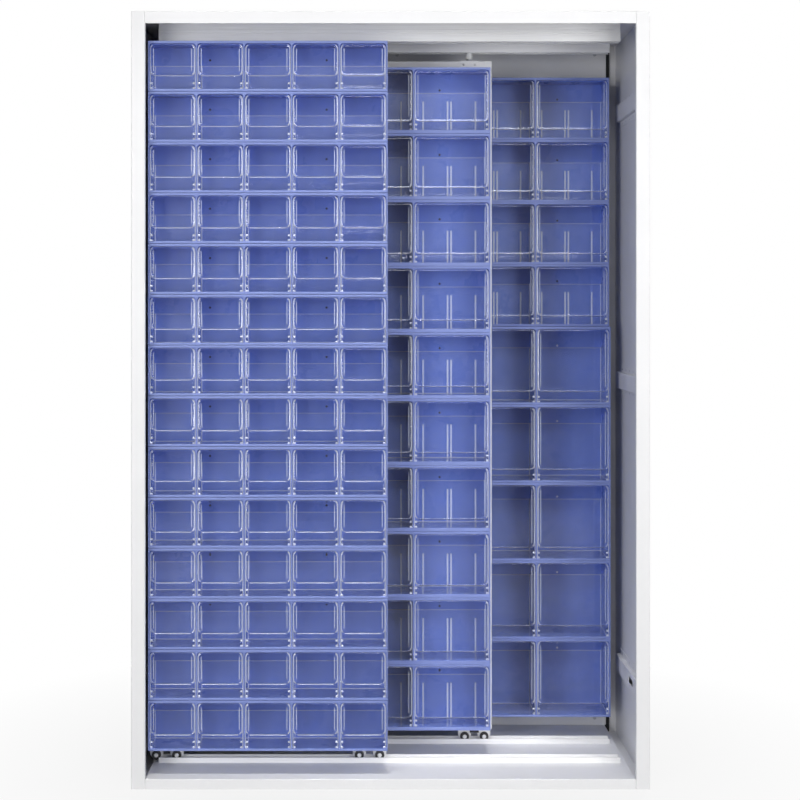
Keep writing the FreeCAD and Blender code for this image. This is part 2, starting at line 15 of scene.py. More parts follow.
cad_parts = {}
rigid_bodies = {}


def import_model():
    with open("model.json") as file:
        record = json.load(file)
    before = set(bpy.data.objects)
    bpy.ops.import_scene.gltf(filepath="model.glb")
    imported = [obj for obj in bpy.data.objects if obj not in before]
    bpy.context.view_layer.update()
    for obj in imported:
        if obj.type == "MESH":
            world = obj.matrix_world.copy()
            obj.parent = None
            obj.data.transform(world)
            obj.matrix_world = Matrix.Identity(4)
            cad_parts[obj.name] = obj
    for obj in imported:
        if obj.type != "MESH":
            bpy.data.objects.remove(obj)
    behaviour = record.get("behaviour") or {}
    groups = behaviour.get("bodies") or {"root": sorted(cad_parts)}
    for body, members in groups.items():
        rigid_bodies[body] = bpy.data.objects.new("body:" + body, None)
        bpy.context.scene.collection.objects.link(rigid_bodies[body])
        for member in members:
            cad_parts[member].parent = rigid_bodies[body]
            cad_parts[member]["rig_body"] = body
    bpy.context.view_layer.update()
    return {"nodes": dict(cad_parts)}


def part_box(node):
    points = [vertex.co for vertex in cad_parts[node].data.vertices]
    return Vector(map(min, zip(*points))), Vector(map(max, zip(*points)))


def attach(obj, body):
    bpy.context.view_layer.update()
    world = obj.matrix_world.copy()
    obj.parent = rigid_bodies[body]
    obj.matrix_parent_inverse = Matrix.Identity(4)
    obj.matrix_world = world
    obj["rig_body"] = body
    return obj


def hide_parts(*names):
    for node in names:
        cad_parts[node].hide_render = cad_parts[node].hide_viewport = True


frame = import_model()

bl_info = {
    "name": "Sliding Bank Cabinet",
    "version": (1, 0, 0),
    "blender": (4, 5, 0),
    "location": "View3D > Sidebar > Cabinet",
    "description": "Dresses a parts cabinet with sliding banks of tilt-out bins",
    "category": "Add Mesh",
}

MM = 0.001

# Cassettes: height, depth and number of cells of each size, and the rows of each bank
CASSETTE_WIDTH = 597 * MM
CASSETTES = {
    "small": (125.6 * MM, 110 * MM, 5),
    "medium": (168 * MM, 128 * MM, 3),
    "large": (209.6 * MM, 153 * MM, 3),
}
ROW_PLAN = {
    "front": (("small", 14, 126.4 * MM),),
    "middle": (("medium", 10, 171.85 * MM),),
    "rear": (("large", 5, 210.1 * MM), ("medium", 4, 168.4 * MM)),
}
BODY_OF_BANK = {"front": "front_bank", "middle": "middle_bank", "rear": "carcass"}
# Where a bin's axis is, back from the face of its cassette and up from its base
AXIS_IN = 7.6 * MM
AXIS_TO_FACE = 4.5 * MM
TILT = math.radians(35)
# How far a bank's cassettes reach down to the row below
SKIRTS = {"front": 0.0, "middle": 3.4 * MM, "rear": 0.0}
SIDE_GAP, HEADROOM, BACK_GAP = 0.9 * MM, 4 * MM, 5 * MM
LANES = {"front": -109.5 * MM, "middle": 70.5 * MM}
FRAME_CENTRES = {"front": -311.2 * MM, "middle": -30.2 * MM}
# The guide pins from the middle of their frame, and the rear flanges of the side walls
PIN_OFFSET = 246 * MM
REAR_FLANGE = 20 * MM
FORWARD, UP = (0, -1, 0), (0, 0, 1)
# How much of a normal has to lie along a direction for a face to count as facing it
FACING = 0.9


def settings_of(kind, **limits):
    """A maker of settings of one kind, none of them below zero."""
    def make(name, description, default):
        return kind(name=name, description=description, default=default, min=0.0, **limits)
    return make


length = settings_of(FloatProperty, unit="LENGTH")
share = settings_of(FloatProperty, max=1.0, subtype="FACTOR")
tint = settings_of(FloatVectorProperty, max=1.0, subtype="COLOR")
watts = settings_of(FloatProperty, unit="POWER")
strength = settings_of(FloatProperty)


class CarcassSettings(bpy.types.PropertyGroup):
    """Sizes and colours of the sheet-steel carcass."""
    gauge: length("Sheet gauge", "Thickness of the folded sheet", 1.2 * MM)
    bend: length("Bend radius", "Inside radius of the folds", 1.2 * MM)
    weld_radius: length("Weld radius", "Radius of a weld dot on a stiffener", 3 * MM)
    weld_pitch: length("Weld pitch", "Distance between weld dots", 58 * MM)
    paint: tint("Paint", "Colour of the powder coat", (0.82, 0.82, 0.83))
    rail: tint("Rail", "Colour of the guides and rails", (0.97, 0.97, 0.97))


class CassetteSettings(bpy.types.PropertyGroup):
    """Sizes and colour of the moulded cassettes."""
    wall: length("Wall", "Thickness of the outer walls and dividers", 3 * MM)
    skin: length("Skin", "Thickness of the floor, roof and back", 2.5 * MM)
    lip: length("Lip", "Height of a cell's front lip over its floor", 3.4 * MM)
    lip_wall: length("Lip wall", "Thickness of the front lip", 2.5 * MM)
    edge: length("Edge round", "Rounding of the front edges", 0.8 * MM)
    valance: length("Valance", "Height of the lip that hangs from a cell's roof", 3.4 * MM)
    gusset: length("Gusset", "Length of the webs in the upper corners of a cell", 8 * MM)
    hole: length("Hole radius", "Radius of a fixing hole in the back wall", 2.9 * MM)
    blue: tint("Blue", "Colour of the plastic", (0.157, 0.250, 0.71))
    # Lighter than the blue: painted light on the cassettes' front faces, which face the lamps. The
    # plastic is the same, only matt there.
    matt_blue: tint("Matt blue", "Colour of the plastic on its matt front edges", (0.215, 0.275, 0.60))


class BinSettings(bpy.types.PropertyGroup):
    """Sizes of the clear bins."""
    wall: length("Wall", "Thickness of the tub's walls", 1.8 * MM)
    panel: length("Panel", "Thickness of the front panel", 3.6 * MM)
    corner: length("Corner", "Radius of the front panel's corners", 12 * MM)
    rim: length("Rim", "Width of the front panel's rounded rim", 7.2 * MM)
    rim_depth: length("Rim depth", "Depth of the front panel's rounded rim", 3.2 * MM)
    sill_inset: length("Sill inset", "Distance of the low sill from the sides of the bin", 6 * MM)
    small_ledge: share("Small ledge", "How far down a small bin its front panel reaches", 0.69)
    other_ledge: share("Other ledge", "How far down a larger bin its front panel reaches", 0.84)
    knob: length("Knob radius", "Radius of the hinge knobs", 3.4 * MM)
    knob_rise: length("Knob rise", "Height of the upper knobs over the axis", 13 * MM)
    bead: length("Bead", "Width of the beads on a bin's back and behind its front panel", 1.4 * MM)
    bead_inset: length("Bead inset", "Distance of the upright beads from the sides of the bin", 9.5 * MM)
    rib: length("Rib", "Thickness of the ribs that hold a divider", 4.6 * MM)


class GearSettings(bpy.types.PropertyGroup):
    """Sizes of the rolling gear."""
    wheel: length("Wheel radius", "Radius of a wheel over its tyre", 11.7 * MM)
    hub: length("Hub radius", "Radius of a wheel's hub", 5.6 * MM)
    wheel_width: length("Wheel width", "Width of a wheel", 9 * MM)
    pin: length("Pin radius", "Radius of a guide pin's sleeve", 9.35 * MM)
    tube: length("Tube", "Width of the square tube of the frames", 25 * MM)


class StageSettings(bpy.types.PropertyGroup):
    """Camera and light of the studio."""
    camera: FloatVectorProperty(
        name="Camera", description="Where the camera stands", default=(-0.0705, -4.27, 1.1922),
        subtype="TRANSLATION", unit="LENGTH")
    lens: FloatProperty(name="Lens", description="Focal length", default=72.97, unit="CAMERA")
    shift: FloatVectorProperty(
        name="Shift", description="Lens shift across and up", size=2, default=(0.0475, -0.1175))
    key: watts("Key light", "Power of the lamp on the left", 84.0)
    fill: watts("Fill light", "Power of the lamp on the right", 92.0)
    top: watts("Top light", "Power of the lamp over the camera", 28.0)
    strip: watts("Strip light", "Power of the narrow lamp over the opening", 1.5)
    back: watts("Back light", "Power of the lamp behind", 110.0)
    ambient: strength("Ambient", "Strength of the light from all round", 0.38)
    room: strength("Room", "Strength of the dim room in reflections", 0.10)
    ceiling: strength("Ceiling", "Strength of the room's upper part in reflections", 0.30)
    floor: tint("Floor", "Colour of the studio floor", (0.24, 0.24, 0.24))


def plug(tree, value, socket):
    """Link a socket to another one, or set it to a plain value."""
    if isinstance(value, bpy.types.NodeSocket):
        tree.links.new(value, socket)
    else:
        socket.default_value = value


def fill(tree, node, values):
    """Give the inputs of a node their values."""
    for label, value in values.items():
        plug(tree, value, node.inputs[label.replace("_", " ")])


def add_node(tree, kind, **values):
    """A node whose own settings, or else inputs, take the given values."""
    made = tree.nodes.new(f"ShaderNode{kind}")
    own = [label for label in values if hasattr(made, label)]
    for label in own:
        setattr(made, label, values.pop(label))
    fill(tree, made, values)
    return made


def mixed(tree, factor, first, second):
    """A colour between two others."""
    node = add_node(tree, "Mix", data_type="RGBA")
    for number, value in ((0, factor), (6, first), (7, second)):
        plug(tree, value, node.inputs[number])
    return node.outputs[2]


def joined(tree, operation, first, second):
    """The outcome of a math operation on two sockets."""
    node = add_node(tree, "Math", operation=operation)
    tree.links.new(first, node.inputs[0])
    tree.links.new(second, node.inputs[1])
    return node.outputs[0]


def new_material(name):
    """A material with its node tree and its main shader."""
    material = bpy.data.materials.new(name)
    material.use_nodes = True
    return material, material.node_tree, material.node_tree.nodes["Principled BSDF"]


def blend_surface(tree, factor, first, second):
    """Let a material's surface go from one shader to another."""
    blend = tree.nodes.new("ShaderNodeMixShader")
    for number, socket in enumerate((factor, first.outputs[0], second.outputs[0])):
        tree.links.new(socket, blend.inputs[number])
    tree.links.new(blend.outputs[0], tree.nodes["Material Output"].inputs["Surface"])


def wire_cloudy(group, given, result):
    """Slow clouds in colour and gloss with a fine grain in height, as moulded or coated skins have."""
    place = add_node(group, "TexCoord").outputs["Object"]
    cloud = add_node(group, "TexNoise", Vector=place, Scale=given["Scale"], Detail=3.0, Roughness=0.55)
    grain = add_node(group, "TexNoise", Vector=place, Scale=given["Grain"], Detail=2.0, Roughness=0.5)
    soft = add_node(group, "MapRange", Value=cloud.outputs["Fac"], From_Min=0.3, From_Max=0.7)
    group.links.new(mixed(group, soft.outputs[0], given["Color"], given["Tone"]), result["Color"])
    gloss = add_node(
        group, "MapRange", Value=cloud.outputs["Fac"], From_Min=0.3, From_Max=0.7,
        To_Min=given["Gloss Low"], To_Max=given["Gloss High"])
    group.links.new(gloss.outputs[0], result["Roughness"])
    group.links.new(grain.outputs["Fac"], result["Height"])


def wire_lines(group, given, result):
    """Fine lines drawn along X, as rolled and brushed profiles have."""
    place = add_node(group, "TexCoord").outputs["Object"]
    turned = add_node(group, "Mapping", Vector=place, Scale=(0.02, 1.0, 1.0))
    lines = add_node(
        group, "TexNoise", Vector=turned.outputs[0], Scale=given["Fineness"], Detail=4.0, Roughness=0.6)
    mask = add_node(group, "MapRange", Value=lines.outputs["Fac"], From_Min=0.35, From_Max=0.65)
    group.links.new(mask.outputs[0], result["Mask"])


def wire_dust(group, given, result):
    """Thin dust that lies on what faces up, in patches."""
    place = add_node(group, "TexCoord").outputs["Object"]
    facing = add_node(group, "SeparateXYZ", Vector=add_node(group, "NewGeometry").outputs["Normal"])
    up = add_node(group, "MapRange", Value=facing.outputs["Z"], From_Min=0.6, From_Max=1.0)
    patches = add_node(group, "TexNoise", Vector=place, Scale=given["Scale"], Detail=5.0, Roughness=0.65)
    patchy = add_node(group, "MapRange", Value=patches.outputs["Fac"], From_Min=0.4, From_Max=0.75)
    both = joined(group, "MULTIPLY", up.outputs[0], patchy.outputs[0])
    group.links.new(joined(group, "MULTIPLY", both, given["Amount"]), result["Mask"])


# Shared effects: the sockets that go in and come out, and the function that wires them
EFFECTS = {
    "Cloudy Skin": (("Color", "Tone", "Scale", "Grain", "Gloss Low", "Gloss High"),
                    ("Color", "Roughness", "Height"), wire_cloudy),
    "Drawn Lines": (("Fineness",), ("Mask",), wire_lines),
    "Settled Dust": (("Amount", "Scale"), ("Mask",), wire_dust),
}
COLOUR_SOCKETS = ("Color", "Tone")


def new_effect(name):
    """The node group of a shared effect."""
    inputs, outputs, wire = EFFECTS[name]
    group = bpy.data.node_groups.new(name, "ShaderNodeTree")
    for direction, sockets in (("INPUT", inputs), ("OUTPUT", outputs)):
        for label in sockets:
            kind = "NodeSocketColor" if label in COLOUR_SOCKETS else "NodeSocketFloat"
            group.interface.new_socket(label, in_out=direction, socket_type=kind)
    entry, leave = group.nodes.new("NodeGroupInput"), group.nodes.new("NodeGroupOutput")
    wire(group, entry.outputs, leave.inputs)
    return group


def use_effect(tree, name, **values):
    """A shared effect placed in a material with its own values."""
    made = tree.nodes.new("ShaderNodeGroup")
    made.node_tree = bpy.data.node_groups.get(name) or new_effect(name)
    fill(tree, made, values)
    return made.outputs


DUST, DUST_SCALE = (0.50, 0.49, 0.47, 1.0), 9.0
GRAIN_HEIGHT = 0.0004
LINE_FINENESS, LINE_GAIN = 420.0, 0.92
# Clear plastic: how it bends light, and what it takes from light that goes through to a lamp
PLASTIC_IOR, PLASTIC_SHADE = 1.49, (0.96, 0.97, 1.0, 1.0)


def rgba(colour, gain=1.0):
    return tuple(min(1.0, part * gain) for part in colour) + (1.0,)


def skin_finish(name, colour, tone, scale, grain, gloss, bump, dust=0.0, **fixed):
    """A material with a cloudy, fine-grained skin. Fixed sockets are set on its shader."""
    material, tree, shader = new_material(name)
    skin = use_effect(
        tree, "Cloudy Skin", Color=colour, Tone=tone, Scale=scale, Grain=grain,
        Gloss_Low=gloss[0], Gloss_High=gloss[1])
    shade = skin["Color"]
    if dust:
        patches = use_effect(tree, "Settled Dust", Amount=dust, Scale=DUST_SCALE)
        shade = mixed(tree, patches["Mask"], shade, DUST)
    relief = add_node(tree, "Bump", Strength=bump, Distance=GRAIN_HEIGHT, Height=skin["Height"])
    fill(tree, shader, fixed | {
        "Base Color": shade, "Roughness": skin["Roughness"], "Normal": relief.outputs[0]})
    return material


def add_lines(material, colour):
    """Lines drawn along a material, in another colour."""
    tree = material.node_tree
    base = tree.nodes["Principled BSDF"].inputs["Base Color"]
    lines = use_effect(tree, "Drawn Lines", Fineness=LINE_FINENESS)
    tree.links.new(mixed(tree, lines["Mask"], base.links[0].from_socket, colour), base)


def see_through(name, base, gloss, passing):
    """Clear plastic. Rays to lamps pass straight through, so what is behind it is lit."""
    material, tree, shader = new_material(name)
    skin = use_effect(
        tree, "Cloudy Skin", Color=base, Tone=base, Scale=30.0, Grain=300.0,
        Gloss_Low=gloss[0], Gloss_High=gloss[1])
    fill(tree, shader, {
        "Base Color": base, "Transmission Weight": passing, "IOR": PLASTIC_IOR,
        "Roughness": skin["Roughness"]})
    rays = add_node(tree, "LightPath")
    either = joined(tree, "MAXIMUM", rays.outputs["Is Shadow Ray"], rays.outputs["Is Diffuse Ray"])
    blend_surface(tree, either, shader, add_node(tree, "BsdfTransparent", Color=PLASTIC_SHADE))
    return material


# Skins whose colour is a setting: name, where the setting is, brightness of the tone, sizes of cloud
# and grain, gloss, relief, and the rest
TINTED = {
    "paint": ("white powder coat", "cabinet_carcass", "paint", 0.97, 6.0, 900.0, (0.36, 0.46), 0.10,
              {"dust": 0.10, "Specular_IOR_Level": 0.45}),
    "rail": ("satin rail", "cabinet_carcass", "rail", 0.97, 9.0, 700.0, (0.30, 0.42), 0.05,
             {"dust": 0.12, "Metallic": 0.1}),
    "blue": ("blue moulding", "cabinet_cassette", "blue", 0.86, 14.0, 1100.0, (0.24, 0.36), 0.06,
             {"dust": 0.05, "Specular_IOR_Level": 0.5}),
    # The cassettes' front faces: rougher, and painted lighter as painted light from the front.
    "matt": ("matt blue moulding", "cabinet_cassette", "matt_blue", 0.92, 14.0, 800.0, (0.42, 0.54),
             0.10, {"dust": 0.05, "Specular_IOR_Level": 0.5}),
}
# Clear plastics: name, colour, gloss and how much light passes
CLEAR = {
    "clear": ("clear moulding", (0.97, 0.98, 1.0, 1.0), (0.02, 0.07), 1.0),
    "haze": ("hazy moulding", (0.93, 0.96, 1.0, 1.0), (0.05, 0.14), 0.98),
    # Milky plastic that paints highlights: bright lines along the bins' rims, beads, ribs and knobs.
    "edge": ("clear edge", (0.86, 0.90, 1.0, 1.0), (0.08, 0.18), 0.4),
}
# Other skins: name, colour, tone, and the same again from the sizes on
SKINS = {
    "tyre": ("tyre rubber", (0.022, 0.022, 0.024, 1.0), (0.034, 0.033, 0.033, 1.0), 60.0, 900.0,
             (0.55, 0.72), 0.15, {}),
    "zinc": ("zinc plate", (0.62, 0.63, 0.65, 1.0), (0.54, 0.54, 0.55, 1.0), 40.0, 600.0,
             (0.26, 0.40), 0.06, {"Metallic": 0.85}),
    "bogie": ("bogie plate", (0.93, 0.93, 0.93, 1.0), (0.88, 0.88, 0.89, 1.0), 30.0, 800.0,
              (0.38, 0.52), 0.10, {"Metallic": 0.1}),
    "nylon": ("white nylon", (0.82, 0.82, 0.81, 1.0), (0.76, 0.76, 0.75, 1.0), 50.0, 900.0,
              (0.40, 0.52), 0.06, {"Subsurface_Weight": 0.05}),
    # Near-black steel that is painted shade: the insides of the cassettes' fixing holes and the shadow
    # under a bogie's notch.
    "dark": ("dark steel", (0.035, 0.035, 0.045, 1.0), (0.055, 0.055, 0.06, 1.0), 40.0, 700.0,
             (0.40, 0.55), 0.10, {"Metallic": 0.4}),
}
made_finishes = {}


def made_finish(label):
    """A new material for a finish."""
    if label in CLEAR:
        return see_through(*CLEAR[label])
    if label in SKINS:
        *skin, fixed = SKINS[label]
        return skin_finish(*skin, **fixed)
    name, group, setting, tone, *skin, fixed = TINTED[label]
    colour = getattr(getattr(bpy.context.scene, group), setting)
    material = skin_finish(name, rgba(colour), rgba(colour, tone), *skin, **fixed)
    if label == "rail":
        add_lines(material, rgba(colour, LINE_GAIN))
    return material


def finish(label):
    """A finish by its short name, made when it is first asked for."""
    if label not in made_finishes:
        made_finishes[label] = made_finish(label)
    return made_finishes[label]


def kept_mesh(bm, name):
    """A bmesh as a mesh, with the bmesh freed."""
    mesh = bpy.data.meshes.new(name)
    bm.to_mesh(mesh)
    bm.free()
    return mesh


def placed(name, data):
    """A new object in the scene."""
    made = bpy.data.objects.new(name, data)
    bpy.context.scene.collection.objects.link(made)
    return made


def add_piece(bm, name, body, finishes, replaced=(), soft_angle=40.0):
    """Turn a bmesh into a piece that rides on a body, standing for the CAD nodes it replaces."""
    mesh = kept_mesh(bm, name)
    for label in finishes:
        mesh.materials.append(finish(label))
    mesh.shade_smooth()
    mesh.set_sharp_from_angle(angle=math.radians(soft_angle))
    piece = placed(name, mesh)
    piece.modifiers.new("Even Shading", "WEIGHTED_NORMAL").keep_sharp = True
    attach(piece, body)
    if replaced:
        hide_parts(*replaced)


def new_verts(bm, before):
    """The vertices added since there were so many."""
    bm.verts.ensure_lookup_table()
    return bm.verts[before:]


def stamp(bm, mesh, place):
    """A copy of a finished mesh at a place."""
    before = len(bm.verts)
    bm.from_mesh(mesh)
    bmesh.ops.translate(bm, verts=new_verts(bm, before), vec=place)


def take_in(bm, part):
    """Add what another bmesh holds, and free that one."""
    mesh = kept_mesh(part, "part")
    bm.from_mesh(mesh)
    bpy.data.meshes.remove(mesh)


def add_part(bm, part, material):
    """Add a part made in a bmesh of its own, all in one material."""
    for face in part.faces:
        face.material_index = material
    take_in(bm, part)


def add_box(bm, low, high):
    """A plain box between two corners."""
    low, high = Vector(low), Vector(high)
    size, middle = high - low, (high + low) / 2
    bmesh.ops.create_cube(
        bm, size=1.0, matrix=Matrix.Translation(middle) @ Matrix.Diagonal((*size, 1.0)))


def cut_edges(bm, planes):
    """Cut edges into every face along planes, each a point and a direction."""
    for place, way in planes:
        bmesh.ops.bisect_plane(
            bm, geom=bm.verts[:] + bm.edges[:] + bm.faces[:], dist=1e-7, plane_co=place, plane_no=way)
    bm.normal_update()


def shell(bm, away, radius, segments, thickness, material=-1):
    """Take faces off a box and leave the rest as a wall with rounded folds."""
    bmesh.ops.delete(bm, geom=away, context="FACES")
    rounded(bm, [edge for edge in bm.edges if not edge.is_boundary], radius, segments, material)
    bmesh.ops.recalc_face_normals(bm, faces=bm.faces)
    bmesh.ops.solidify(bm, geom=list(bm.faces), thickness=thickness)
    bmesh.ops.recalc_face_normals(bm, faces=bm.faces)


def rounded(bm, edges, radius, segments=1, material=-1):
    """Round off edges."""
    bmesh.ops.bevel(
        bm, geom=list(edges), offset=radius, offset_type="OFFSET", affect="EDGES", segments=segments,
        profile=0.5, material=material, clamp_overlap=True)


def add_block(bm, low, high, edge=0.0, segments=1, material=0):
    """A block between two corners with its edges rounded."""
    part = bmesh.new()
    add_box(part, low, high)
    if edge:
        rounded(part, part.edges, edge, segments)
    add_part(bm, part, material)


def swept(outline, sweep, rounds, segments):
    """A closed outline swept straight, with some of its corners rounded: rounds is corner to radius."""
    part = bmesh.new()
    corners = [part.verts.new(point) for point in outline]
    part.faces.new(corners)
    by_radius = {}
    for corner, radius in rounds.items():
        by_radius.setdefault(radius, []).append(corners[corner])
    for radius, chosen in by_radius.items():
        bmesh.ops.bevel(
            part, geom=chosen, offset=radius, offset_type="OFFSET", affect="VERTICES",
            segments=segments, profile=0.5, material=-1, clamp_overlap=False)
    region = bmesh.ops.extrude_face_region(part, geom=list(part.faces))
    moved = [item for item in region["geom"] if isinstance(item, bmesh.types.BMVert)]
    bmesh.ops.translate(part, verts=moved, vec=sweep)
    bmesh.ops.recalc_face_normals(part, faces=part.faces)
    return part


def add_section(bm, outline, sweep, rounds=None, segments=3, material=0):
    """Add a swept outline, all in one material."""
    add_part(bm, swept(outline, sweep, rounds or {}, segments), material)


def turn_to(axis):
    """The turn from upright to an axis."""
    return Vector(UP).rotation_difference(Vector(axis)).to_matrix().to_4x4()


def add_turned(bm, profile, centre, axis, steps, material=0):
    """A profile of (radius, height) points turned about an axis through centre."""
    part = bmesh.new()
    chain = [part.verts.new((radius, 0.0, height)) for radius, height in profile]
    edges = [part.edges.new(pair) for pair in zip(chain, chain[1:])]
    bmesh.ops.spin(
        part, geom=chain + edges, cent=(0, 0, 0), axis=UP, angle=math.tau, steps=steps,
        use_merge=True)
    bmesh.ops.remove_doubles(part, verts=part.verts, dist=1e-6)
    bmesh.ops.recalc_face_normals(part, faces=part.faces)
    bmesh.ops.transform(part, matrix=Matrix.Translation(centre) @ turn_to(axis), verts=part.verts)
    add_part(bm, part, material)


def add_disc(bm, centre, axis, radius, depth, top_radius, sides, material):
    """A short solid disc with its base at centre, standing up along axis."""
    part = bmesh.new()
    lift = Matrix.Translation((0, 0, depth / 2))
    bmesh.ops.create_cone(
        part, cap_ends=True, segments=sides, radius1=radius, radius2=top_radius, depth=depth,
        matrix=Matrix.Translation(centre) @ turn_to(axis) @ lift)
    add_part(bm, part, material)


# The profile of a pan-head screw with a socket, in radii and heights of its head
SCREW = ((0, 0), (1, 0), (1, 0.5), (0.82, 1), (0.42, 1), (0.34, 0.45), (0, 0.45))
SCREW_HEAD = 0.55


def add_screw(bm, place, radius, material):
    """A screw that faces forward."""
    profile = [(across * radius, up * radius * SCREW_HEAD) for across, up in SCREW]
    add_turned(bm, profile, place, FORWARD, 12, material)


def mirrored_x(points):
    return [(-x, y, z) for x, y, z in points]


def other_half(points):
    """The points of a section's second half, from where its first half ends."""
    return [(-across, along) for across, along in reversed(points)]


class CABINET_OT_sides(bpy.types.Operator):
    """Fold the two side walls with their posts, lips and flanges"""
    bl_idname = "cabinet.sides"
    bl_label = "Side Walls"

    lip = 15 * MM

    def execute(self, context):
        sizes = context.scene.cabinet_carcass
        gauge, bend = sizes.gauge, sizes.bend
        low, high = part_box("left_side")
        outer, post = low.x, high.x
        front, back = low.y, high.y
        lip_end, rear = front + self.lip, outer + REAR_FLANGE
        outline = [
            (outer, front, 0), (post, front, 0), (post, lip_end, 0), (post - gauge, lip_end, 0),
            (post - gauge, front + gauge, 0), (outer + gauge, front + gauge, 0),
            (outer + gauge, back - gauge, 0), (rear, back - gauge, 0), (rear, back, 0), (outer, back, 0)]
        rounds = dict.fromkeys((0, 1, 9), bend + gauge) | dict.fromkeys((4, 5, 6), bend)
        for name, turn in (("left_side", list), ("right_side", mirrored_x)):
            bm = bmesh.new()
            add_section(bm, turn(outline), (0, 0, high.z), rounds)
            for foot in (0.0, high.z - gauge):
                inside = [(outer + gauge, front + 2 * gauge, foot), (post, front + 2 * gauge, foot),
                          (post, back - gauge, foot), (outer + gauge, back - gauge, foot)]
                add_section(bm, turn(inside), (0, 0, gauge))
            add_piece(bm, f"{name}_sheet", "carcass", ["paint"], [name])
        return {"FINISHED"}


class CABINET_OT_trays(bpy.types.Operator):
    """Fold the top panel, the floor tray and the back tray"""
    bl_idname = "cabinet.trays"
    bl_label = "Top, Floor and Back"

    screws_across = (577 * MM, 27 * MM, -577 * MM)
    screw_heights = (1892 * MM, 45 * MM)
    screw_radius = 5 * MM
    seal_depth, seal_round, seal_play, seal_lap = 6 * MM, 1 * MM, 0.2 * MM, 0.6 * MM

    def execute(self, context):
        sizes = context.scene.cabinet_carcass
        gauge, bend = sizes.gauge, sizes.bend
        low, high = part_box("top_panel")
        x, front, back, base, top = low.x, low.y, high.y, low.z, high.z
        outline = [
            (x, front, base), (x, front + gauge, base), (x, front + gauge, top - gauge),
            (x, back - gauge, top - gauge), (x, back - gauge, base), (x, back, base), (x, back, top),
            (x, front, top)]
        bm = bmesh.new()
        add_section(
            bm, outline, (high.x - low.x, 0, 0), {2: bend, 3: bend, 6: bend + gauge, 7: bend + gauge})
        add_piece(bm, "top_panel_sheet", "carcass", ["paint"], ["top_panel"])
        self.add_tray(sizes, "bottom_panel", Vector((0, 0, -1)))
        self.add_tray(sizes, "back_panel", Vector((0, 1, 0)))
        self.add_back_screws()
        self.add_seals(sizes)
        return {"FINISHED"}

    def add_tray(self, sizes, node, open_way):
        """A box of sheet that is open on one side."""
        bm = bmesh.new()
        add_box(bm, *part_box(node))
        bm.normal_update()
        opening = [face for face in bm.faces if face.normal.dot(open_way) > FACING]
        shell(bm, opening, sizes.bend + sizes.gauge, 3, sizes.gauge)
        add_piece(bm, f"{node}_sheet", "carcass", ["paint"], [node])

    def add_seals(self, sizes):
        """Black strips that close the gaps between the trays and the side walls' rear flanges."""
        back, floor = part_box("back_panel")[1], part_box("bottom_panel")[1]
        flange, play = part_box("left_side")[0].x + REAR_FLANGE, self.seal_play
        strips = (
            (back.x, floor.z + play, back.z - self.seal_round),
            (floor.x, 2 * sizes.gauge, floor.z - play))
        bm = bmesh.new()
        for edge, base, top in strips:
            for side in (-1, 1):
                left, right = sorted((side * (edge + play / 2), side * (self.seal_lap - flange)))
                add_block(
                    bm, (left, back.y - self.seal_depth, base), (right, back.y - play, top),
                    self.seal_round)
        add_piece(bm, "back_seals", "carcass", ["tyre"])

    def add_back_screws(self):
        """Screws that hold the back tray."""
        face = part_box("back_panel")[0].y
        bm = bmesh.new()
        for across in self.screws_across:
            for height in self.screw_heights:
                add_screw(bm, (across, face, height), self.screw_radius, 0)
        add_piece(bm, "back_screws", "carcass", ["zinc"])


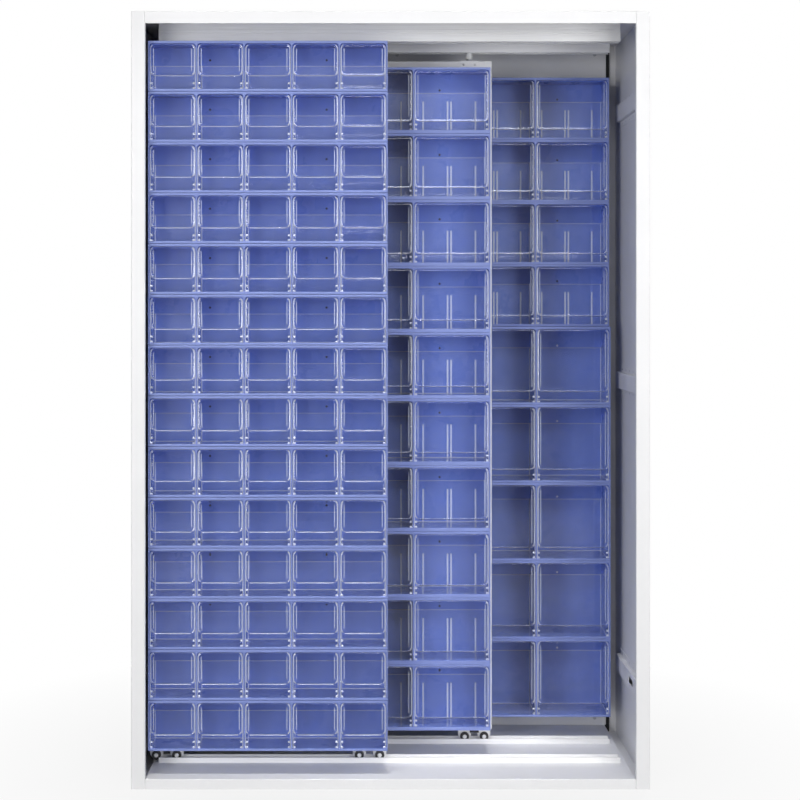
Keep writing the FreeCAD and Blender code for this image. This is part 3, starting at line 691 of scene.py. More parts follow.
class CABINET_OT_stiffeners(bpy.types.Operator):
    """Fold the hat-section stiffeners on the side walls and dot their flanges with welds"""
    bl_idname = "cabinet.stiffeners"
    bl_label = "Stiffeners"

    heights = (217 * MM, 990 * MM, 1718 * MM)
    face, flange, proud = 45 * MM, 15 * MM, 12 * MM
    slot_middle, slot_half, slot_rise = -58 * MM, 30 * MM, 8 * MM
    weld_rise, weld_crown, slack = 0.35 * MM, 0.7, 0.1 * MM

    def execute(self, context):
        sizes = context.scene.cabinet_carcass
        low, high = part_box("side_stiffeners")
        bm = bmesh.new()
        for height in self.heights:
            left = bmesh.new()
            self.add_hat(left, sizes, low, high, height, slotted=height == self.heights[0])
            mesh = kept_mesh(left, "hat")
            bm.from_mesh(mesh)
            before = len(bm.verts)
            bm.from_mesh(mesh)
            copy = new_verts(bm, before)
            bmesh.ops.scale(bm, verts=copy, vec=(-1, 1, 1))
            faces = {face for vert in copy for face in vert.link_faces}
            bmesh.ops.reverse_faces(bm, faces=list(faces))
            bpy.data.meshes.remove(mesh)
        add_piece(
            bm, "side_stiffener_hats", "carcass", ["paint", "zinc"], ["side_stiffeners"])
        return {"FINISHED"}

    def add_hat(self, bm, sizes, low, high, height, slotted):
        """One stiffener on the left wall, with its welds."""
        gauge, wall = sizes.gauge, low.x
        reach = high.y - low.y
        skin, out, under = wall + gauge, wall + self.proud, wall + self.proud - gauge
        face, edge = self.face / 2, self.face / 2 + self.flange
        half = [(edge, wall), (edge, skin), (face, skin), (face, out)]
        inside = [(face - gauge, under), (face - gauge, wall)]
        outline = half + other_half(half) + other_half(inside) + inside
        points = [(x, low.y, height + z) for z, x in outline]
        rounds = dict.fromkeys((3, 4), 2 * gauge) | dict.fromkeys((2, 5), gauge)
        add_section(bm, points, (0, reach, 0), rounds)
        if slotted:
            self.cut_slot(bm, height, under)
        count = int(reach / sizes.weld_pitch)
        start = low.y + (reach - (count - 1) * sizes.weld_pitch) / 2
        for side in (-1, 1):
            for number in range(count):
                along, rise = start + number * sizes.weld_pitch, side * (face + self.flange / 2)
                add_disc(
                    bm, (skin, along, height + rise), (1, 0, 0), sizes.weld_radius, self.weld_rise,
                    sizes.weld_radius * self.weld_crown, 8, 1)

    def cut_slot(self, bm, height, under):
        """A slot through the face of a hat."""
        near, far = self.slot_middle - self.slot_half, self.slot_middle + self.slot_half
        base, top = height - self.slot_rise, height + self.slot_rise
        cut_edges(bm, (
            ((0, near, 0), (0, 1, 0)), ((0, far, 0), (0, 1, 0)), ((0, 0, base), UP), ((0, 0, top), UP)))
        cut = []
        for face in bm.faces:
            middle = face.calc_center_median()
            in_slot = near < middle.y < far and base < middle.z < top
            if abs(face.normal.x) > FACING and middle.x > under - self.slack and in_slot:
                cut.append(face)
        bmesh.ops.delete(bm, geom=cut, context="FACES")
        bmesh.ops.bridge_loops(bm, edges=[edge for edge in bm.edges if edge.is_boundary])


class CABINET_OT_tracks(bpy.types.Operator):
    """Draw the slotted top guides and the floor rails"""
    bl_idname = "cabinet.tracks"
    bl_label = "Guides and Rails"

    half = 16.5 * MM
    rail_wall, rail_web, rail_lip, rail_bend = 2 * MM, 5 * MM, 0.6 * MM, 1.2 * MM
    neck, slot, guide_gauge, groove = 12.5 * MM, 9.85 * MM, 1.5 * MM, 1 * MM
    shoulder_rise, roof_rise, guide_round = 31 * MM, 22 * MM, 1.0 * MM

    def execute(self, context):
        self.add_pair("top_guides", "top_guide_channels", self.guide_section)
        self.add_pair("bottom_rails", "floor_rail_channels", self.rail_section)
        return {"FINISHED"}

    def add_pair(self, node, name, section):
        """The same section drawn along both lanes."""
        low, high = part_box(node)
        outline, rounds = section(low.z, high.z)
        bm = bmesh.new()
        for lane in LANES.values():
            points = [(low.x, lane + y, z) for y, z in outline]
            add_section(bm, points, (high.x - low.x, 0, 0), rounds, segments=2)
        add_piece(bm, name, "carcass", ["rail"], [node])

    def rail_section(self, base, top):
        """A channel that is open at the top."""
        half, inner, web = self.half, self.half - self.rail_wall, base + self.rail_web
        outline = [
            (-half, base), (half, base), (half, top), (inner, top), (inner, web), (-inner, web),
            (-inner, top), (-half, top)]
        rounds = dict.fromkeys((2, 3, 6, 7), self.rail_lip) | dict.fromkeys((4, 5), self.rail_bend)
        return outline, rounds

    def guide_section(self, base, top):
        """A box neck over a channel with a groove along its face and a slot underneath."""
        half, neck, slot, groove = self.half, self.neck, self.slot, self.groove
        shoulder, roof = base + self.shoulder_rise, base + self.roof_rise
        inner, floor = half - self.guide_gauge - groove, base + self.guide_gauge
        right = [
            (slot, base), (half, base), (half, roof - groove), (half - groove, roof),
            (half, roof + groove), (half, shoulder), (neck, shoulder), (neck, top)]
        inside = [(inner, roof - self.guide_gauge), (inner, floor), (slot, floor)]
        outline = right + other_half(right) + other_half(inside) + inside
        return outline, dict.fromkeys((1, 5, 10, 14), self.guide_round)


def bank_rows(bank):
    """The size of each row of a bank, and where the face of its cassette starts: depth and height."""
    low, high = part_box(f"{bank}_cassettes")
    base = low.z + SKIRTS[bank]
    for size, count, pitch in ROW_PLAN[bank]:
        for row in range(count):
            yield size, high.y - CASSETTES[size][1], base + row * pitch
        base += count * pitch


def bank_columns(bank):
    """The middle of each column of cassettes in a bank."""
    low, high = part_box(f"{bank}_cassettes")
    spare = high.x - low.x - CASSETTE_WIDTH
    middle = low.x + CASSETTE_WIDTH / 2
    return [middle, middle + spare] if spare > CASSETTE_WIDTH / 2 else [middle]


def cell_span(size, sizes):
    """The width of a cell and the distance from one cell to the next."""
    cells = CASSETTES[size][2]
    width = (CASSETTE_WIDTH - 2 * sizes.wall - (cells - 1) * sizes.wall) / cells
    return width, width + sizes.wall


def cell_middles(size, sizes):
    """Where the cells of a cassette are across it, from its middle."""
    cells, pitch = CASSETTES[size][2], cell_span(size, sizes)[1]
    return [(number - (cells - 1) / 2) * pitch for number in range(cells)]


class CABINET_OT_cassettes(bpy.types.Operator):
    """Mould the blue cassettes of every bank"""
    bl_idname = "cabinet.cassettes"
    bl_label = "Cassettes"

    # Cells with a fixing hole, and how far the hole is from the middle of its cell
    fixings = {"small": ((1, -0.30), (3, 0.22)), "medium": ((0, -0.13), (2, -0.13)),
               "large": ((0, -0.13), (2, -0.13))}
    fixing_rise, fixing_depth, fixing_taper = 0.74, 0.3 * MM, 0.8
    # The finishes of a cassette, and the places of the last three in the list
    finishes = ["blue", "dark", "matt", "nylon"]
    dark, matt, nylon = 1, 2, 3
    # The step behind a lip, the angle of a sharp edge, and how near counts as on the outside
    step_back, sharp, near = 0.3 * MM, 1.0, 1e-6
    gusset_turns = (0, 30, 60, 90)

    def execute(self, context):
        sizes = context.scene.cabinet_cassette
        for bank, body in BODY_OF_BANK.items():
            moulds = {size: self.mould(size, sizes, SKIRTS[bank]) for size, _, _ in ROW_PLAN[bank]}
            bm = bmesh.new()
            for size, face, base in bank_rows(bank):
                for middle in bank_columns(bank):
                    stamp(bm, moulds[size], (middle, face, base))
            add_piece(
                bm, f"{bank}_cassette_mouldings", body, self.finishes, [f"{bank}_cassettes"])
        return {"FINISHED"}

    def mould(self, size, sizes, skirt):
        """One cassette with its face at the origin: a block with a row of cells let into it."""
        height, depth, _ = CASSETTES[size]
        half, width = CASSETTE_WIDTH / 2, cell_span(size, sizes)[0]
        bm = bmesh.new()
        add_box(bm, (-half, 0, -skirt), (half, depth, height))
        floor, roof = sizes.skin, height - sizes.skin
        lip, valance = floor + sizes.lip, roof - sizes.valance
        middles = cell_middles(size, sizes)
        walls = [(middle + side * width / 2, side) for middle in middles for side in (-1, 1)]
        planes = [((wall, 0, 0), (1, 0, 0)) for wall, _ in walls]
        cut_edges(bm, planes + [((0, 0, level), UP) for level in (lip, valance)])
        mouths = []
        for face in bm.faces:
            middle = face.calc_center_median()
            in_cell = any(abs(middle.x - x) < width / 2 for x in middles)
            if face.normal.y < -FACING and in_cell and lip < middle.z < valance:
                mouths.append(face)
        rims = {edge for face in mouths for edge in face.edges}
        behind = self.push(bm, mouths, sizes.lip_wall)
        behind = self.push(bm, behind, self.step_back)
        for vert in {vert for face in behind for vert in face.verts}:
            vert.co.z = floor if vert.co.z < height / 2 else roof
        rear = depth - sizes.skin
        self.push(bm, behind, rear - sizes.lip_wall - self.step_back)
        bmesh.ops.recalc_face_normals(bm, faces=bm.faces)

        def at_outside(vert):
            x, _, z = vert.co
            return abs(abs(x) - half) < self.near or z < self.near - skirt or z > height - self.near

        outside = {
            edge for edge in bm.edges
            if edge.is_manifold and edge.calc_face_angle(0.0) > self.sharp
            and all(at_outside(vert) for vert in edge.verts)}
        rounded(bm, [edge for edge in rims | outside if edge.is_valid], sizes.edge, 2)
        # Faces at the front take the lighter matt finish: painted light on the cassette's face.
        for face in bm.faces:
            if face.calc_center_median().y < sizes.edge:
                face.material_index = self.matt
        for wall, side in walls:
            self.add_gusset(bm, sizes, wall, valance, -side)
        # Fixing holes drawn as discs: the near-black ones are painted shade for a hole's inside, and the
        # large cassettes' ones are white nylon.
        for number, shift in self.fixings[size]:
            place = (middles[number] + shift * width, rear, self.fixing_rise * height)
            add_disc(
                bm, place, FORWARD, sizes.hole, self.fixing_depth, sizes.hole * self.fixing_taper, 8,
                self.nylon if size == "large" else self.dark)
        return kept_mesh(bm, f"{size} cassette")

    def add_gusset(self, bm, sizes, wall, roof, inward):
        """A hollow-curved web in an upper corner of a cell's mouth."""
        arm = sizes.gusset
        points = [(wall, sizes.edge, roof)]
        for turn in map(math.radians, self.gusset_turns):
            across, drop = arm * (1 - math.sin(turn)), arm * (1 - math.cos(turn))
            points.append((wall + inward * across, sizes.edge, roof - drop))
        add_section(bm, points, (0, sizes.lip_wall - sizes.edge, 0), material=self.matt)

    def push(self, bm, faces, distance):
        """Push faces back into the block one by one."""
        pushed = bmesh.ops.extrude_discrete_faces(bm, faces=faces)["faces"]
        verts = list({vert for face in pushed for vert in face.verts})
        bmesh.ops.translate(bm, verts=verts, vec=(0, distance, 0))
        return pushed


class CABINET_OT_bins(bpy.types.Operator):
    """Mould the clear tilt-out bins and set each on its axis"""
    bl_idname = "cabinet.bins"
    bl_label = "Bins"

    # The finishes of a bin, and the places of the last two in the list. The edge finish is a milky
    # plastic that paints highlights.
    finishes = ["clear", "edge", "haze"]
    edge, haze = 1, 2
    # The shading angle, how far up a face has to look to be a rim, and the play between parts
    soft_angle, slope, play = 50.0, 0.3, 0.2 * MM
    rim_step = 30
    rim_turns = (0, 30, 60)
    # How far a rim face of the front panel leans sideways or up to take the edge's finish, whose milky
    # white is a painted highlight
    rim_side, rim_up = 0.15, 0.5
    sill_in, sill_base, sill_round, tub_round = 1.5 * MM, -3.6 * MM, 0.4 * MM, 2.5 * MM
    knob_in, knob_length, knob_taper = 2.2 * MM, 5 * MM, 0.7
    ledge_front, ledge_back, ledge_top, ledge_base = 0.1 * MM, 3.1 * MM, 0.1 * MM, 1.2 * MM
    bead_round, bead_sink, bead_proud = 0.3 * MM, 0.3 * MM, 1 * MM
    rib_top, rib_base, rib_depth, rib_round = 0.56, -2.5 * MM, 3 * MM, 0.5 * MM
    rib_pair, rib_side = 4.6 * MM, 0.72

    def execute(self, context):
        sizes, cells = context.scene.cabinet_bin, context.scene.cabinet_cassette
        moulds = {size: self.mould(size, sizes, cells) for size in CASSETTES}
        places = {}
        for bank in ROW_PLAN:
            for row, (size, face, base) in enumerate(bank_rows(bank), start=1):
                across = [
                    middle + x for middle in bank_columns(bank) for x in cell_middles(size, cells)]
                for number, x in enumerate(across, start=1):
                    alone = number == len(across)
                    place = (size, (x, face + AXIS_IN, base + AXIS_IN))
                    places.setdefault(self.node_of(bank, row, alone), []).append(place)
        for node, copies in places.items():
            bm = bmesh.new()
            for size, place in copies:
                stamp(bm, moulds[size], place)
            body = frame["nodes"][node]["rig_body"]
            add_piece(
                bm, f"{node}_clear", body, self.finishes, [node], self.soft_angle)
        return {"FINISHED"}

    def node_of(self, bank, row, alone):
        """The CAD node that a bin belongs to."""
        if bank == "front":
            return f"front_bins_{row:02d}"
        return f"{bank}_bin_{row:02d}" if alone else f"{bank}_bins_left"

    def mould(self, size, sizes, cells):
        """One bin about its axis: a tub, a front panel with round corners over a low sill, and knobs."""
        height, depth, _ = CASSETTES[size]
        half = cell_span(size, cells)[0] / 2 - SIDE_GAP
        front = height - cells.skin - AXIS_IN - HEADROOM
        reach = depth - cells.skin - AXIS_IN - BACK_GAP
        back = (front - reach * math.sin(TILT)) / math.cos(TILT)
        face = -AXIS_TO_FACE
        small = size == "small"
        ledge = front - (front - face) * (sizes.small_ledge if small else sizes.other_ledge)
        bm = bmesh.new()
        near = face + sizes.panel + self.play
        self.add_tub(bm, sizes, half, near, reach, front - sizes.corner, back)
        self.add_panel(bm, sizes, half, face, ledge, front)
        sill, side = face + self.sill_in, half - sizes.sill_inset
        add_block(
            bm, (-side, sill, self.sill_base), (side, sill + sizes.wall, ledge - self.play),
            self.sill_round)
        self.add_ledge(bm, sizes, half, face, ledge, front, self.edge if small else 0)
        # Knobs in the edge finish: painted highlight.
        for side in (-1, 1):
            for rise in (0, sizes.knob_rise):
                add_disc(
                    bm, (side * (half - self.knob_in), 0, rise), (-side, 0, 0), sizes.knob,
                    self.knob_length, sizes.knob * self.knob_taper, 8, self.edge)
        # A bead along the tub's back in the edge finish: a painted highlight line.
        inner, bead = reach - sizes.wall, sizes.bead
        add_block(
            bm, (-half + sizes.wall, inner - bead, back - bead),
            (half - sizes.wall, inner, back - self.play), self.bead_round, material=self.edge)
        if size == "medium":
            self.add_ribs(bm, sizes, half, inner, front)
        return kept_mesh(bm, f"{size} bin")

    def add_tub(self, bm, sizes, half, near, reach, front, back):
        """Sides, back and bottom of a bin in one wall thickness."""
        base = -AXIS_TO_FACE
        tub = bmesh.new()
        bmesh.ops.create_cube(tub, size=2.0)
        for vert in tub.verts:
            at_back = vert.co.y > 0
            top = back if at_back else front
            vert.co = (vert.co.x * half, reach if at_back else near, top if vert.co.z > 0 else base)
        tub.normal_update()
        away = [face for face in tub.faces if face.normal.z > self.slope or face.normal.y < -FACING]
        shell(tub, away, self.tub_round, 1, sizes.wall, self.edge)
        # The tub's rim tops and front edges take the edge finish: painted highlight lines.
        for face in tub.faces:
            middle = face.calc_center_median()
            top = face.normal.z > self.slope and middle.z > base + 2 * sizes.wall
            if top or (face.normal.y < -FACING and middle.y < near + self.play / 2):
                face.material_index = self.edge
            elif face.material_index == 0:
                face.material_index = self.haze
        take_in(bm, tub)

    def add_panel(self, bm, sizes, half, face, low, high):
        """The front panel: a plate with round corners and a rim that rounds back to its sides."""
        corners = [(-half, low), (half, low), (half, high), (-half, high)]
        panel = swept(
            [(x, face + sizes.panel, z) for x, z in corners], (0, sizes.rim_depth - sizes.panel, 0),
            dict.fromkeys(range(4), sizes.corner), 3)
        for turn in self.rim_turns:
            plain = [item for item in panel.faces if item.normal.y < -FACING and len(item.edges) > 4]
            start, end = math.radians(turn), math.radians(turn + self.rim_step)
            bmesh.ops.inset_region(
                panel, faces=plain, thickness=sizes.rim * (math.cos(start) - math.cos(end)),
                depth=sizes.rim_depth * (math.sin(end) - math.sin(start)), use_even_offset=True)
            panel.normal_update()
        # Rim faces that lean sideways or up take the edge finish: a painted highlight round the panel.
        for item in panel.faces:
            if abs(item.normal.x) > self.rim_side or abs(item.normal.z) > self.rim_up:
                item.material_index = self.edge
        take_in(bm, panel)

    def add_ledge(self, bm, sizes, half, face, low, high, material):
        """The sloping ledge under the front panel, and the upright beads on the panel's back."""
        end = half - sizes.corner
        back, base = face + self.ledge_back, low - self.ledge_base
        slope = [(face + self.ledge_front, base), (back, low - self.ledge_top), (back, base)]
        add_section(bm, [(-end, y, z) for y, z in slope], (2 * end, 0, 0), material=material)
        behind, bead = face + sizes.panel, sizes.bead / 2
        # The beads take the edge finish: painted highlight lines.
        for side in (-1, 1):
            across = side * (half - sizes.bead_inset)
            add_block(
                bm, (across - bead, behind - self.bead_sink, low + sizes.corner),
                (across + bead, behind + self.bead_proud, high - sizes.corner), material=self.edge)

    def add_ribs(self, bm, sizes, half, inner, front):
        """Ribs on the inside of a bin's back that hold dividers."""
        top, rib = self.rib_top * front, sizes.rib / 2
        # The ribs take the edge finish: painted highlight.
        for across in (-self.rib_pair, self.rib_pair, self.rib_side * half, -self.rib_side * half):
            add_block(
                bm, (across - rib, inner - self.rib_depth, self.rib_base), (across + rib, inner, top),
                self.rib_round, material=self.edge)


class CABINET_OT_frames(bpy.types.Operator):
    """Build the rolling frames of square tube with their caps and brackets"""
    bl_idname = "cabinet.frames"
    bl_label = "Rolling Frames"

    uprights = {"front": 124.8 * MM, "middle": 192 * MM}
    tube_round, play, touch = 1.6 * MM, 0.2 * MM, 0.05 * MM
    cap_in, cap_out, cap_base, cap_proud, cap_round = 19 * MM, 0.4 * MM, 10 * MM, 0.8 * MM, 1.2 * MM
    bracket_half, bracket_gauge, bracket_drop, bracket_round = 23 * MM, 1.5 * MM, 17 * MM, 0.6 * MM
    screw_offset, screw_drop, screw_radius = 15 * MM, 9 * MM, 3.2 * MM
    # The finishes of the caps, brackets and screws, and the places of the last two in the list
    finishes = ["nylon", "paint", "zinc"]
    paint, zinc = 1, 2

    def execute(self, context):
        tube = context.scene.cabinet_gear.tube
        for bank in LANES:
            body = BODY_OF_BANK[bank]
            low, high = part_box(f"{bank}_frame")
            middle, upright = (low.x + high.x) / 2, self.uprights[bank]
            bm = bmesh.new()
            for base in (low.z, high.z - tube):
                add_block(bm, (low.x, low.y, base), (high.x, high.y, base + tube), self.tube_round, 2)
            for left in (low.x, high.x - tube, middle - upright - tube / 2, middle + upright - tube / 2):
                add_block(
                    bm, (left, low.y + self.play, low.z + tube),
                    (left + tube, high.y - self.play, high.z - tube), self.tube_round, 2)
            add_piece(bm, f"{bank}_frame_tubes", body, ["paint"], [f"{bank}_frame"])
            self.add_fittings(bank, body, low, high, middle, tube)
        return {"FINISHED"}

    def add_fittings(self, bank, body, low, high, middle, tube):
        """End caps of the top tube and the brackets under the guide pins."""
        half, skin = self.bracket_half, high.z + self.bracket_gauge
        face = low.y - self.bracket_gauge
        in_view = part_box(f"{bank}_cassettes")[1].z < high.z
        cap_face = low.y - self.cap_proud if in_view else low.y + self.touch
        bm = bmesh.new()
        for side, edge in ((-1, low.x), (1, high.x)):
            left, right = sorted((edge - side * self.cap_in, edge + side * self.cap_out))
            add_block(
                bm, (left, cap_face, high.z - tube + self.cap_base),
                (right, high.y + self.cap_proud, high.z + self.cap_proud), self.cap_round, 2)
            pin = middle + side * PIN_OFFSET
            add_block(
                bm, (pin - half, low.y, high.z + self.touch), (pin + half, high.y, skin),
                self.bracket_round, 1, self.paint)
            if not in_view:
                continue
            add_block(
                bm, (pin - half, face, high.z - self.bracket_drop),
                (pin + half, low.y - self.touch, skin), self.bracket_round, 1, self.paint)
            for offset in (-self.screw_offset, self.screw_offset):
                place = (pin + offset, face, high.z - self.screw_drop)
                add_screw(bm, place, self.screw_radius, self.zinc)
        add_piece(bm, f"{bank}_frame_fittings", body, self.finishes)


class CABINET_OT_gear(bpy.types.Operator):
    """Turn the wheels and guide pins, and cut the bogie plates"""
    bl_idname = "cabinet.gear"
    bl_label = "Rolling Gear"

    axle_height, bogie_offset, axle_half = 42 * MM, 260 * MM, 26 * MM
    plate, lobe, lobe_round = 6 * MM, 17 * MM, 15 * MM
    notch, lobe_base, notch_round = 50 * MM, 31.5 * MM, 2 * MM
    # The black bar at the notch of a bogie, painted shade under the notch: its lap, depth, base and top
    # over the notch, and edges
    bar_lap, bar_depth, bar_base, bar_top, bar_round = 3 * MM, 4 * MM, 1 * MM, 9 * MM, 0.8 * MM
    bar_play = 0.1 * MM
    # An axle bolt with a collar behind the wheel and a domed head: radius and height in millimetres
    bolt = (
        (0, 0), (5.5, 0), (5.5, 1.2), (2.95, 1.2), (2.95, 9.6), (4.2, 9.6), (4.2, 11), (3.2, 11.9),
        (1.9, 11.9), (1.6, 11.2), (0, 11.2))
    bore, shoulder, chamfer, play = 3.05 * MM, 1.6 * MM, 0.6 * MM, 0.05 * MM
    shoulder_ease = 0.3
    hub_in, dish_depth, dish_foot = 0.4 * MM, 1.0 * MM, 1.4 * MM
    shank, nut, nut_base, nut_height, sleeve = 5 * MM, 8 * MM, 1.6 * MM, 4 * MM, 8 * MM
    sleeve_round, stud_lap = 1 * MM, 0.5 * MM
    # The grooves of a sleeve: how many, from where, how far apart, how deep and their heights
    grooves, groove_base, groove_pitch, groove_depth = 4, 3 * MM, 5.4 * MM, 0.9 * MM
    groove_low, groove_high, groove_end = 0.5 * MM, 1.5 * MM, 2 * MM

    def execute(self, context):
        sizes = context.scene.cabinet_gear
        for bank in LANES:
            body = BODY_OF_BANK[bank]
            self.add_bogies(bank, body)
            self.add_pins(bank, body, sizes)
            for number in range(1, 5):
                self.add_wheel(f"{bank}_wheel_{number}", sizes)
        return {"FINISHED"}

    def add_bogies(self, bank, body):
        """Two plates with a lobe for each wheel, and the wheels' bolts."""
        lane, top = LANES[bank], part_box(f"{bank}_bogies")[1].z
        bm = bmesh.new()
        for side in (-1, 1):
            middle = FRAME_CENTRES[bank] + side * self.bogie_offset
            end, gap = self.axle_half + self.lobe, self.axle_half - self.lobe
            right = [(gap, self.notch), (gap, self.lobe_base), (end, self.lobe_base), (end, top)]
            points = [(middle + x, lane, z) for x, z in right + other_half(right)]
            rounds = dict.fromkeys((1, 2, 5, 6), self.lobe_round)
            rounds |= dict.fromkeys((0, 7), self.notch_round)
            add_section(bm, points, (0, self.plate, 0), rounds, segments=6)
            # A black bar across the notch: painted shade where the bogie is in shadow.
            add_block(
                bm, (middle - gap - self.bar_lap, lane - self.bar_depth, self.notch + self.bar_base),
                (middle + gap + self.bar_lap, lane - self.bar_play, self.notch + self.bar_top),
                self.bar_round, 2, 1)
            bolt = [(radius * MM, height * MM) for radius, height in self.bolt]
            for axle in (-self.axle_half, self.axle_half):
                add_turned(bm, bolt, (middle + axle, lane, self.axle_height), FORWARD, 18)
        add_piece(bm, f"{bank}_bogie_plates", body, ["bogie", "dark"], [f"{bank}_bogies"])

    def add_wheel(self, node, sizes):
        """A tyre with round shoulders on a dished hub."""
        low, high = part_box(node)
        middle = (low + high) / 2
        radius, hub, half = sizes.wheel, sizes.hub, sizes.wheel_width / 2
        soft, ease, cut = self.shoulder, self.shoulder * self.shoulder_ease, self.chamfer
        bm = bmesh.new()
        tyre = [
            (hub, -half + cut), (hub + cut, -half), (radius - soft, -half),
            (radius - ease, -half + ease), (radius, -half + soft), (radius, half - soft),
            (radius - ease, half - ease), (radius - soft, half), (hub + cut, half),
            (hub, half - cut), (hub, -half + cut)]
        add_turned(bm, tyre, middle, FORWARD, 28)
        bore, outer, back, front = self.bore, hub - self.play, -half + self.hub_in, half - self.hub_in
        dish = half - self.dish_depth
        core = [
            (bore, back), (outer, back), (outer, dish), (hub - self.dish_depth, dish),
            (hub - self.dish_foot, front), (bore, front), (bore, back)]
        add_turned(bm, core, middle, FORWARD, 20, 1)
        add_piece(bm, f"{node}_tyre", frame["nodes"][node]["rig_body"], ["tyre", "nylon"], [node])

    def add_pins(self, bank, body, sizes):
        """Grooved sleeves on studs with a nut."""
        low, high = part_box(f"{bank}_guide_pins")
        radius, rise, sleeve, soft = sizes.pin, high.z - low.z, self.sleeve, self.sleeve_round
        profile = [(0, sleeve), (radius - soft, sleeve), (radius, sleeve + soft)]
        inner = radius - self.groove_depth
        for number in range(self.grooves):
            start = sleeve + self.groove_base + number * self.groove_pitch
            profile += [
                (radius, start), (inner, start + self.groove_low), (inner, start + self.groove_high),
                (radius, start + self.groove_end)]
        profile += [(radius, rise - soft), (radius - soft, rise), (0, rise)]
        top = sleeve + self.stud_lap
        stud = [(0, 0), (self.shank, 0), (self.shank, top), (0, top)]
        bm = bmesh.new()
        for side in (-1, 1):
            place = Vector((FRAME_CENTRES[bank] + side * PIN_OFFSET, LANES[bank], low.z))
            add_turned(bm, profile, place, UP, 24)
            add_turned(bm, stud, place, UP, 16, 1)
            nut = place + Vector((0, 0, self.nut_base))
            add_disc(bm, nut, UP, self.nut, self.nut_height, self.nut, 6, 1)
        add_piece(bm, f"{bank}_guide_sleeves", body, ["nylon", "zinc"], [f"{bank}_guide_pins"])


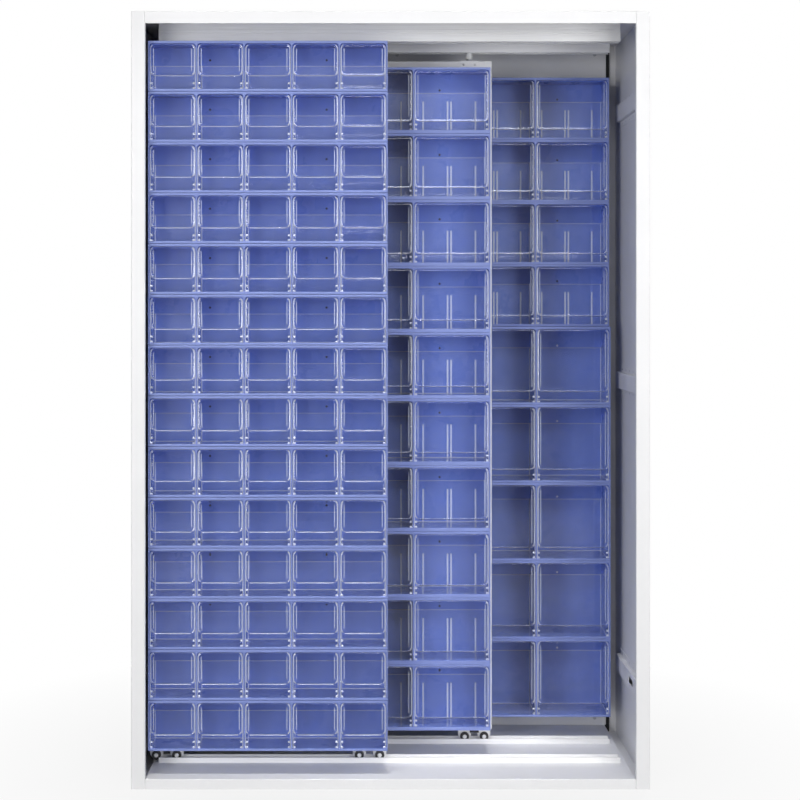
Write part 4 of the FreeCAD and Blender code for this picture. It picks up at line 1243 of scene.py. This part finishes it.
class CABINET_OT_stage(bpy.types.Operator):
    """Set the pale floor, the lamps and the camera"""
    bl_idname = "cabinet.stage"
    bl_label = "Stage"

    # Where each lamp is, where it points, its size and its spread in degrees
    lamps = {
        "Key": ((-2.4, -4.5, 1.2), (0.0, 0.0, 1.0), (1.8, 2.2), 180.0),
        "Fill": ((2.6, -4.2, 1.3), (0.0, 0.0, 0.9), (2.2, 2.4), 180.0),
        "Top": ((0.6, -4.2, 3.2), (0.1, 0.0, 0.9), (1.6, 0.7), 180.0),
        "Strip": ((0.0, -0.55, 2.6), (0.0, -0.1, 0.0), (1.3, 0.15), 30.0),
        "Back": ((2.2, 4.4, 2.6), (0.0, 0.0, 1.0), (1.6, 1.6), 180.0),
    }
    floor_half, floor_roughness = 40.0, 0.8
    # The floor's glow: its share at the cabinet, and from where to where it rises to all
    glow_near, glow_from, glow_to = 0.86, 0.5, 1.4
    # From where to where a place on the floor, or a direction, comes to be behind the cabinet
    floor_behind, world_behind = (-0.3, 0.3), (-0.1, 0.2)
    # Height of direction at which the room in reflections is at its brightest
    ceiling_height = 0.14

    def execute(self, context):
        settings = context.scene.cabinet_stage
        self.add_floor(settings)
        self.add_world(context.scene, settings)
        for name, (place, target, size, spread) in self.lamps.items():
            self.add_lamp(name, place, target, size, getattr(settings, name.lower()), spread)
        self.add_camera(context.scene, settings)
        context.scene.view_settings.view_transform = "Standard"
        return {"FINISHED"}

    def add_floor(self, settings):
        """A floor that is white to the camera, and a little greyer close to the cabinet."""
        bm = bmesh.new()
        bmesh.ops.create_grid(bm, x_segments=1, y_segments=1, size=self.floor_half)
        mesh = kept_mesh(bm, "floor")
        material, tree, shader = new_material("studio floor")
        fill(tree, shader, {"Base Color": rgba(settings.floor), "Roughness": self.floor_roughness})
        glow = add_node(tree, "Emission", Color=(1, 1, 1, 1), Strength=1.0)
        place = add_node(tree, "TexCoord").outputs["Object"]
        away = add_node(tree, "VectorMath", operation="LENGTH")
        tree.links.new(place, away.inputs[0])
        fade = add_node(
            tree, "MapRange", Value=away.outputs["Value"], From_Min=self.glow_from,
            From_Max=self.glow_to, To_Min=self.glow_near)
        depth = add_node(tree, "SeparateXYZ", Vector=place)
        seen = self.seen_rays(tree, depth.outputs["Y"], self.floor_behind)[0]
        blend_surface(tree, joined(tree, "MULTIPLY", fade.outputs[0], seen), shader, glow)
        mesh.materials.append(material)
        floor = placed("studio_floor", mesh)

    def add_world(self, scene, settings):
        """White behind the cabinet to the camera, in glass and in reflections, and softer as light."""
        world = bpy.data.worlds.new("Studio")
        world.use_nodes = True
        scene.world = world
        tree = world.node_tree
        back = tree.nodes["Background"]
        back.inputs["Color"].default_value = (1, 1, 1, 1)
        way = add_node(tree, "SeparateXYZ", Vector=add_node(tree, "TexCoord").outputs["Generated"])
        seen, bent = self.seen_rays(tree, way.outputs["Y"], self.world_behind)
        room = add_node(
            tree, "MapRange", Value=way.outputs["Z"], From_Min=0.0, From_Max=self.ceiling_height,
            To_Min=settings.room, To_Max=settings.ceiling)
        dim = add_node(tree, "MapRange", Value=bent, To_Min=settings.ambient, To_Max=room.outputs[0])
        power = add_node(tree, "MapRange", Value=seen, To_Min=dim.outputs[0], To_Max=1.0)
        tree.links.new(power.outputs[0], back.inputs["Strength"])

    def seen_rays(self, tree, depth, limits):
        """Rays that see white: the camera's, and bent ones that go behind. Then all bent rays."""
        rays = add_node(tree, "LightPath").outputs
        bent = joined(tree, "MAXIMUM", rays["Is Glossy Ray"], rays["Is Transmission Ray"])
        behind = add_node(tree, "MapRange", Value=depth, From_Min=limits[0], From_Max=limits[1])
        mirrored = joined(tree, "MULTIPLY", bent, behind.outputs[0])
        return joined(tree, "MAXIMUM", rays["Is Camera Ray"], mirrored), bent

    def add_lamp(self, name, place, target, size, power, spread):
        light = bpy.data.lights.new(name, "AREA")
        light.spread = math.radians(spread)
        light.shape = "RECTANGLE"
        light.size, light.size_y = size
        light.energy = power
        lamp = placed(name, light)
        lamp.location = place
        lamp.rotation_euler = (Vector(target) - Vector(place)).to_track_quat("-Z", "Y").to_euler()

    def add_camera(self, scene, settings):
        camera = bpy.data.cameras.new("Camera")
        camera.lens = settings.lens
        camera.sensor_width = 36.0
        camera.shift_x, camera.shift_y = settings.shift
        holder = placed("Camera", camera)
        holder.location = settings.camera
        holder.rotation_euler = (math.pi / 2, 0.0, 0.0)
        scene.camera = holder


OPERATORS = (
    CABINET_OT_sides, CABINET_OT_trays, CABINET_OT_stiffeners, CABINET_OT_tracks, CABINET_OT_cassettes,
    CABINET_OT_bins, CABINET_OT_frames, CABINET_OT_gear, CABINET_OT_stage,
)
SETTINGS = {
    "cabinet_carcass": CarcassSettings, "cabinet_cassette": CassetteSettings, "cabinet_bin": BinSettings,
    "cabinet_gear": GearSettings, "cabinet_stage": StageSettings,
}


class CABINET_PT_panel(bpy.types.Panel):
    """Operators and settings of the cabinet"""
    bl_idname = "CABINET_PT_panel"
    bl_label = "Sliding Bank Cabinet"
    bl_space_type = "VIEW_3D"
    bl_region_type = "UI"
    bl_category = "Cabinet"

    def draw(self, context):
        for operator in OPERATORS:
            self.layout.operator(operator.bl_idname)
        for label, group in SETTINGS.items():
            box = self.layout.box()
            box.label(text=group.__doc__)
            for setting in group.__annotations__:
                box.prop(getattr(context.scene, label), setting)


def register():
    for group in SETTINGS.values():
        bpy.utils.register_class(group)
    for operator in OPERATORS:
        bpy.utils.register_class(operator)
    bpy.utils.register_class(CABINET_PT_panel)
    for label, group in SETTINGS.items():
        setattr(bpy.types.Scene, label, PointerProperty(type=group))


def unregister():
    for label in SETTINGS:
        delattr(bpy.types.Scene, label)
    bpy.utils.unregister_class(CABINET_PT_panel)
    for group in (*reversed(OPERATORS), *reversed(SETTINGS.values())):
        bpy.utils.unregister_class(group)


def main():
    register()
    bpy.ops.cabinet.stage()
    bpy.ops.cabinet.sides()
    bpy.ops.cabinet.trays()
    bpy.ops.cabinet.stiffeners()
    bpy.ops.cabinet.tracks()
    bpy.ops.cabinet.cassettes()
    bpy.ops.cabinet.bins()
    bpy.ops.cabinet.frames()
    bpy.ops.cabinet.gear()


if __name__ == "__main__":
    main()
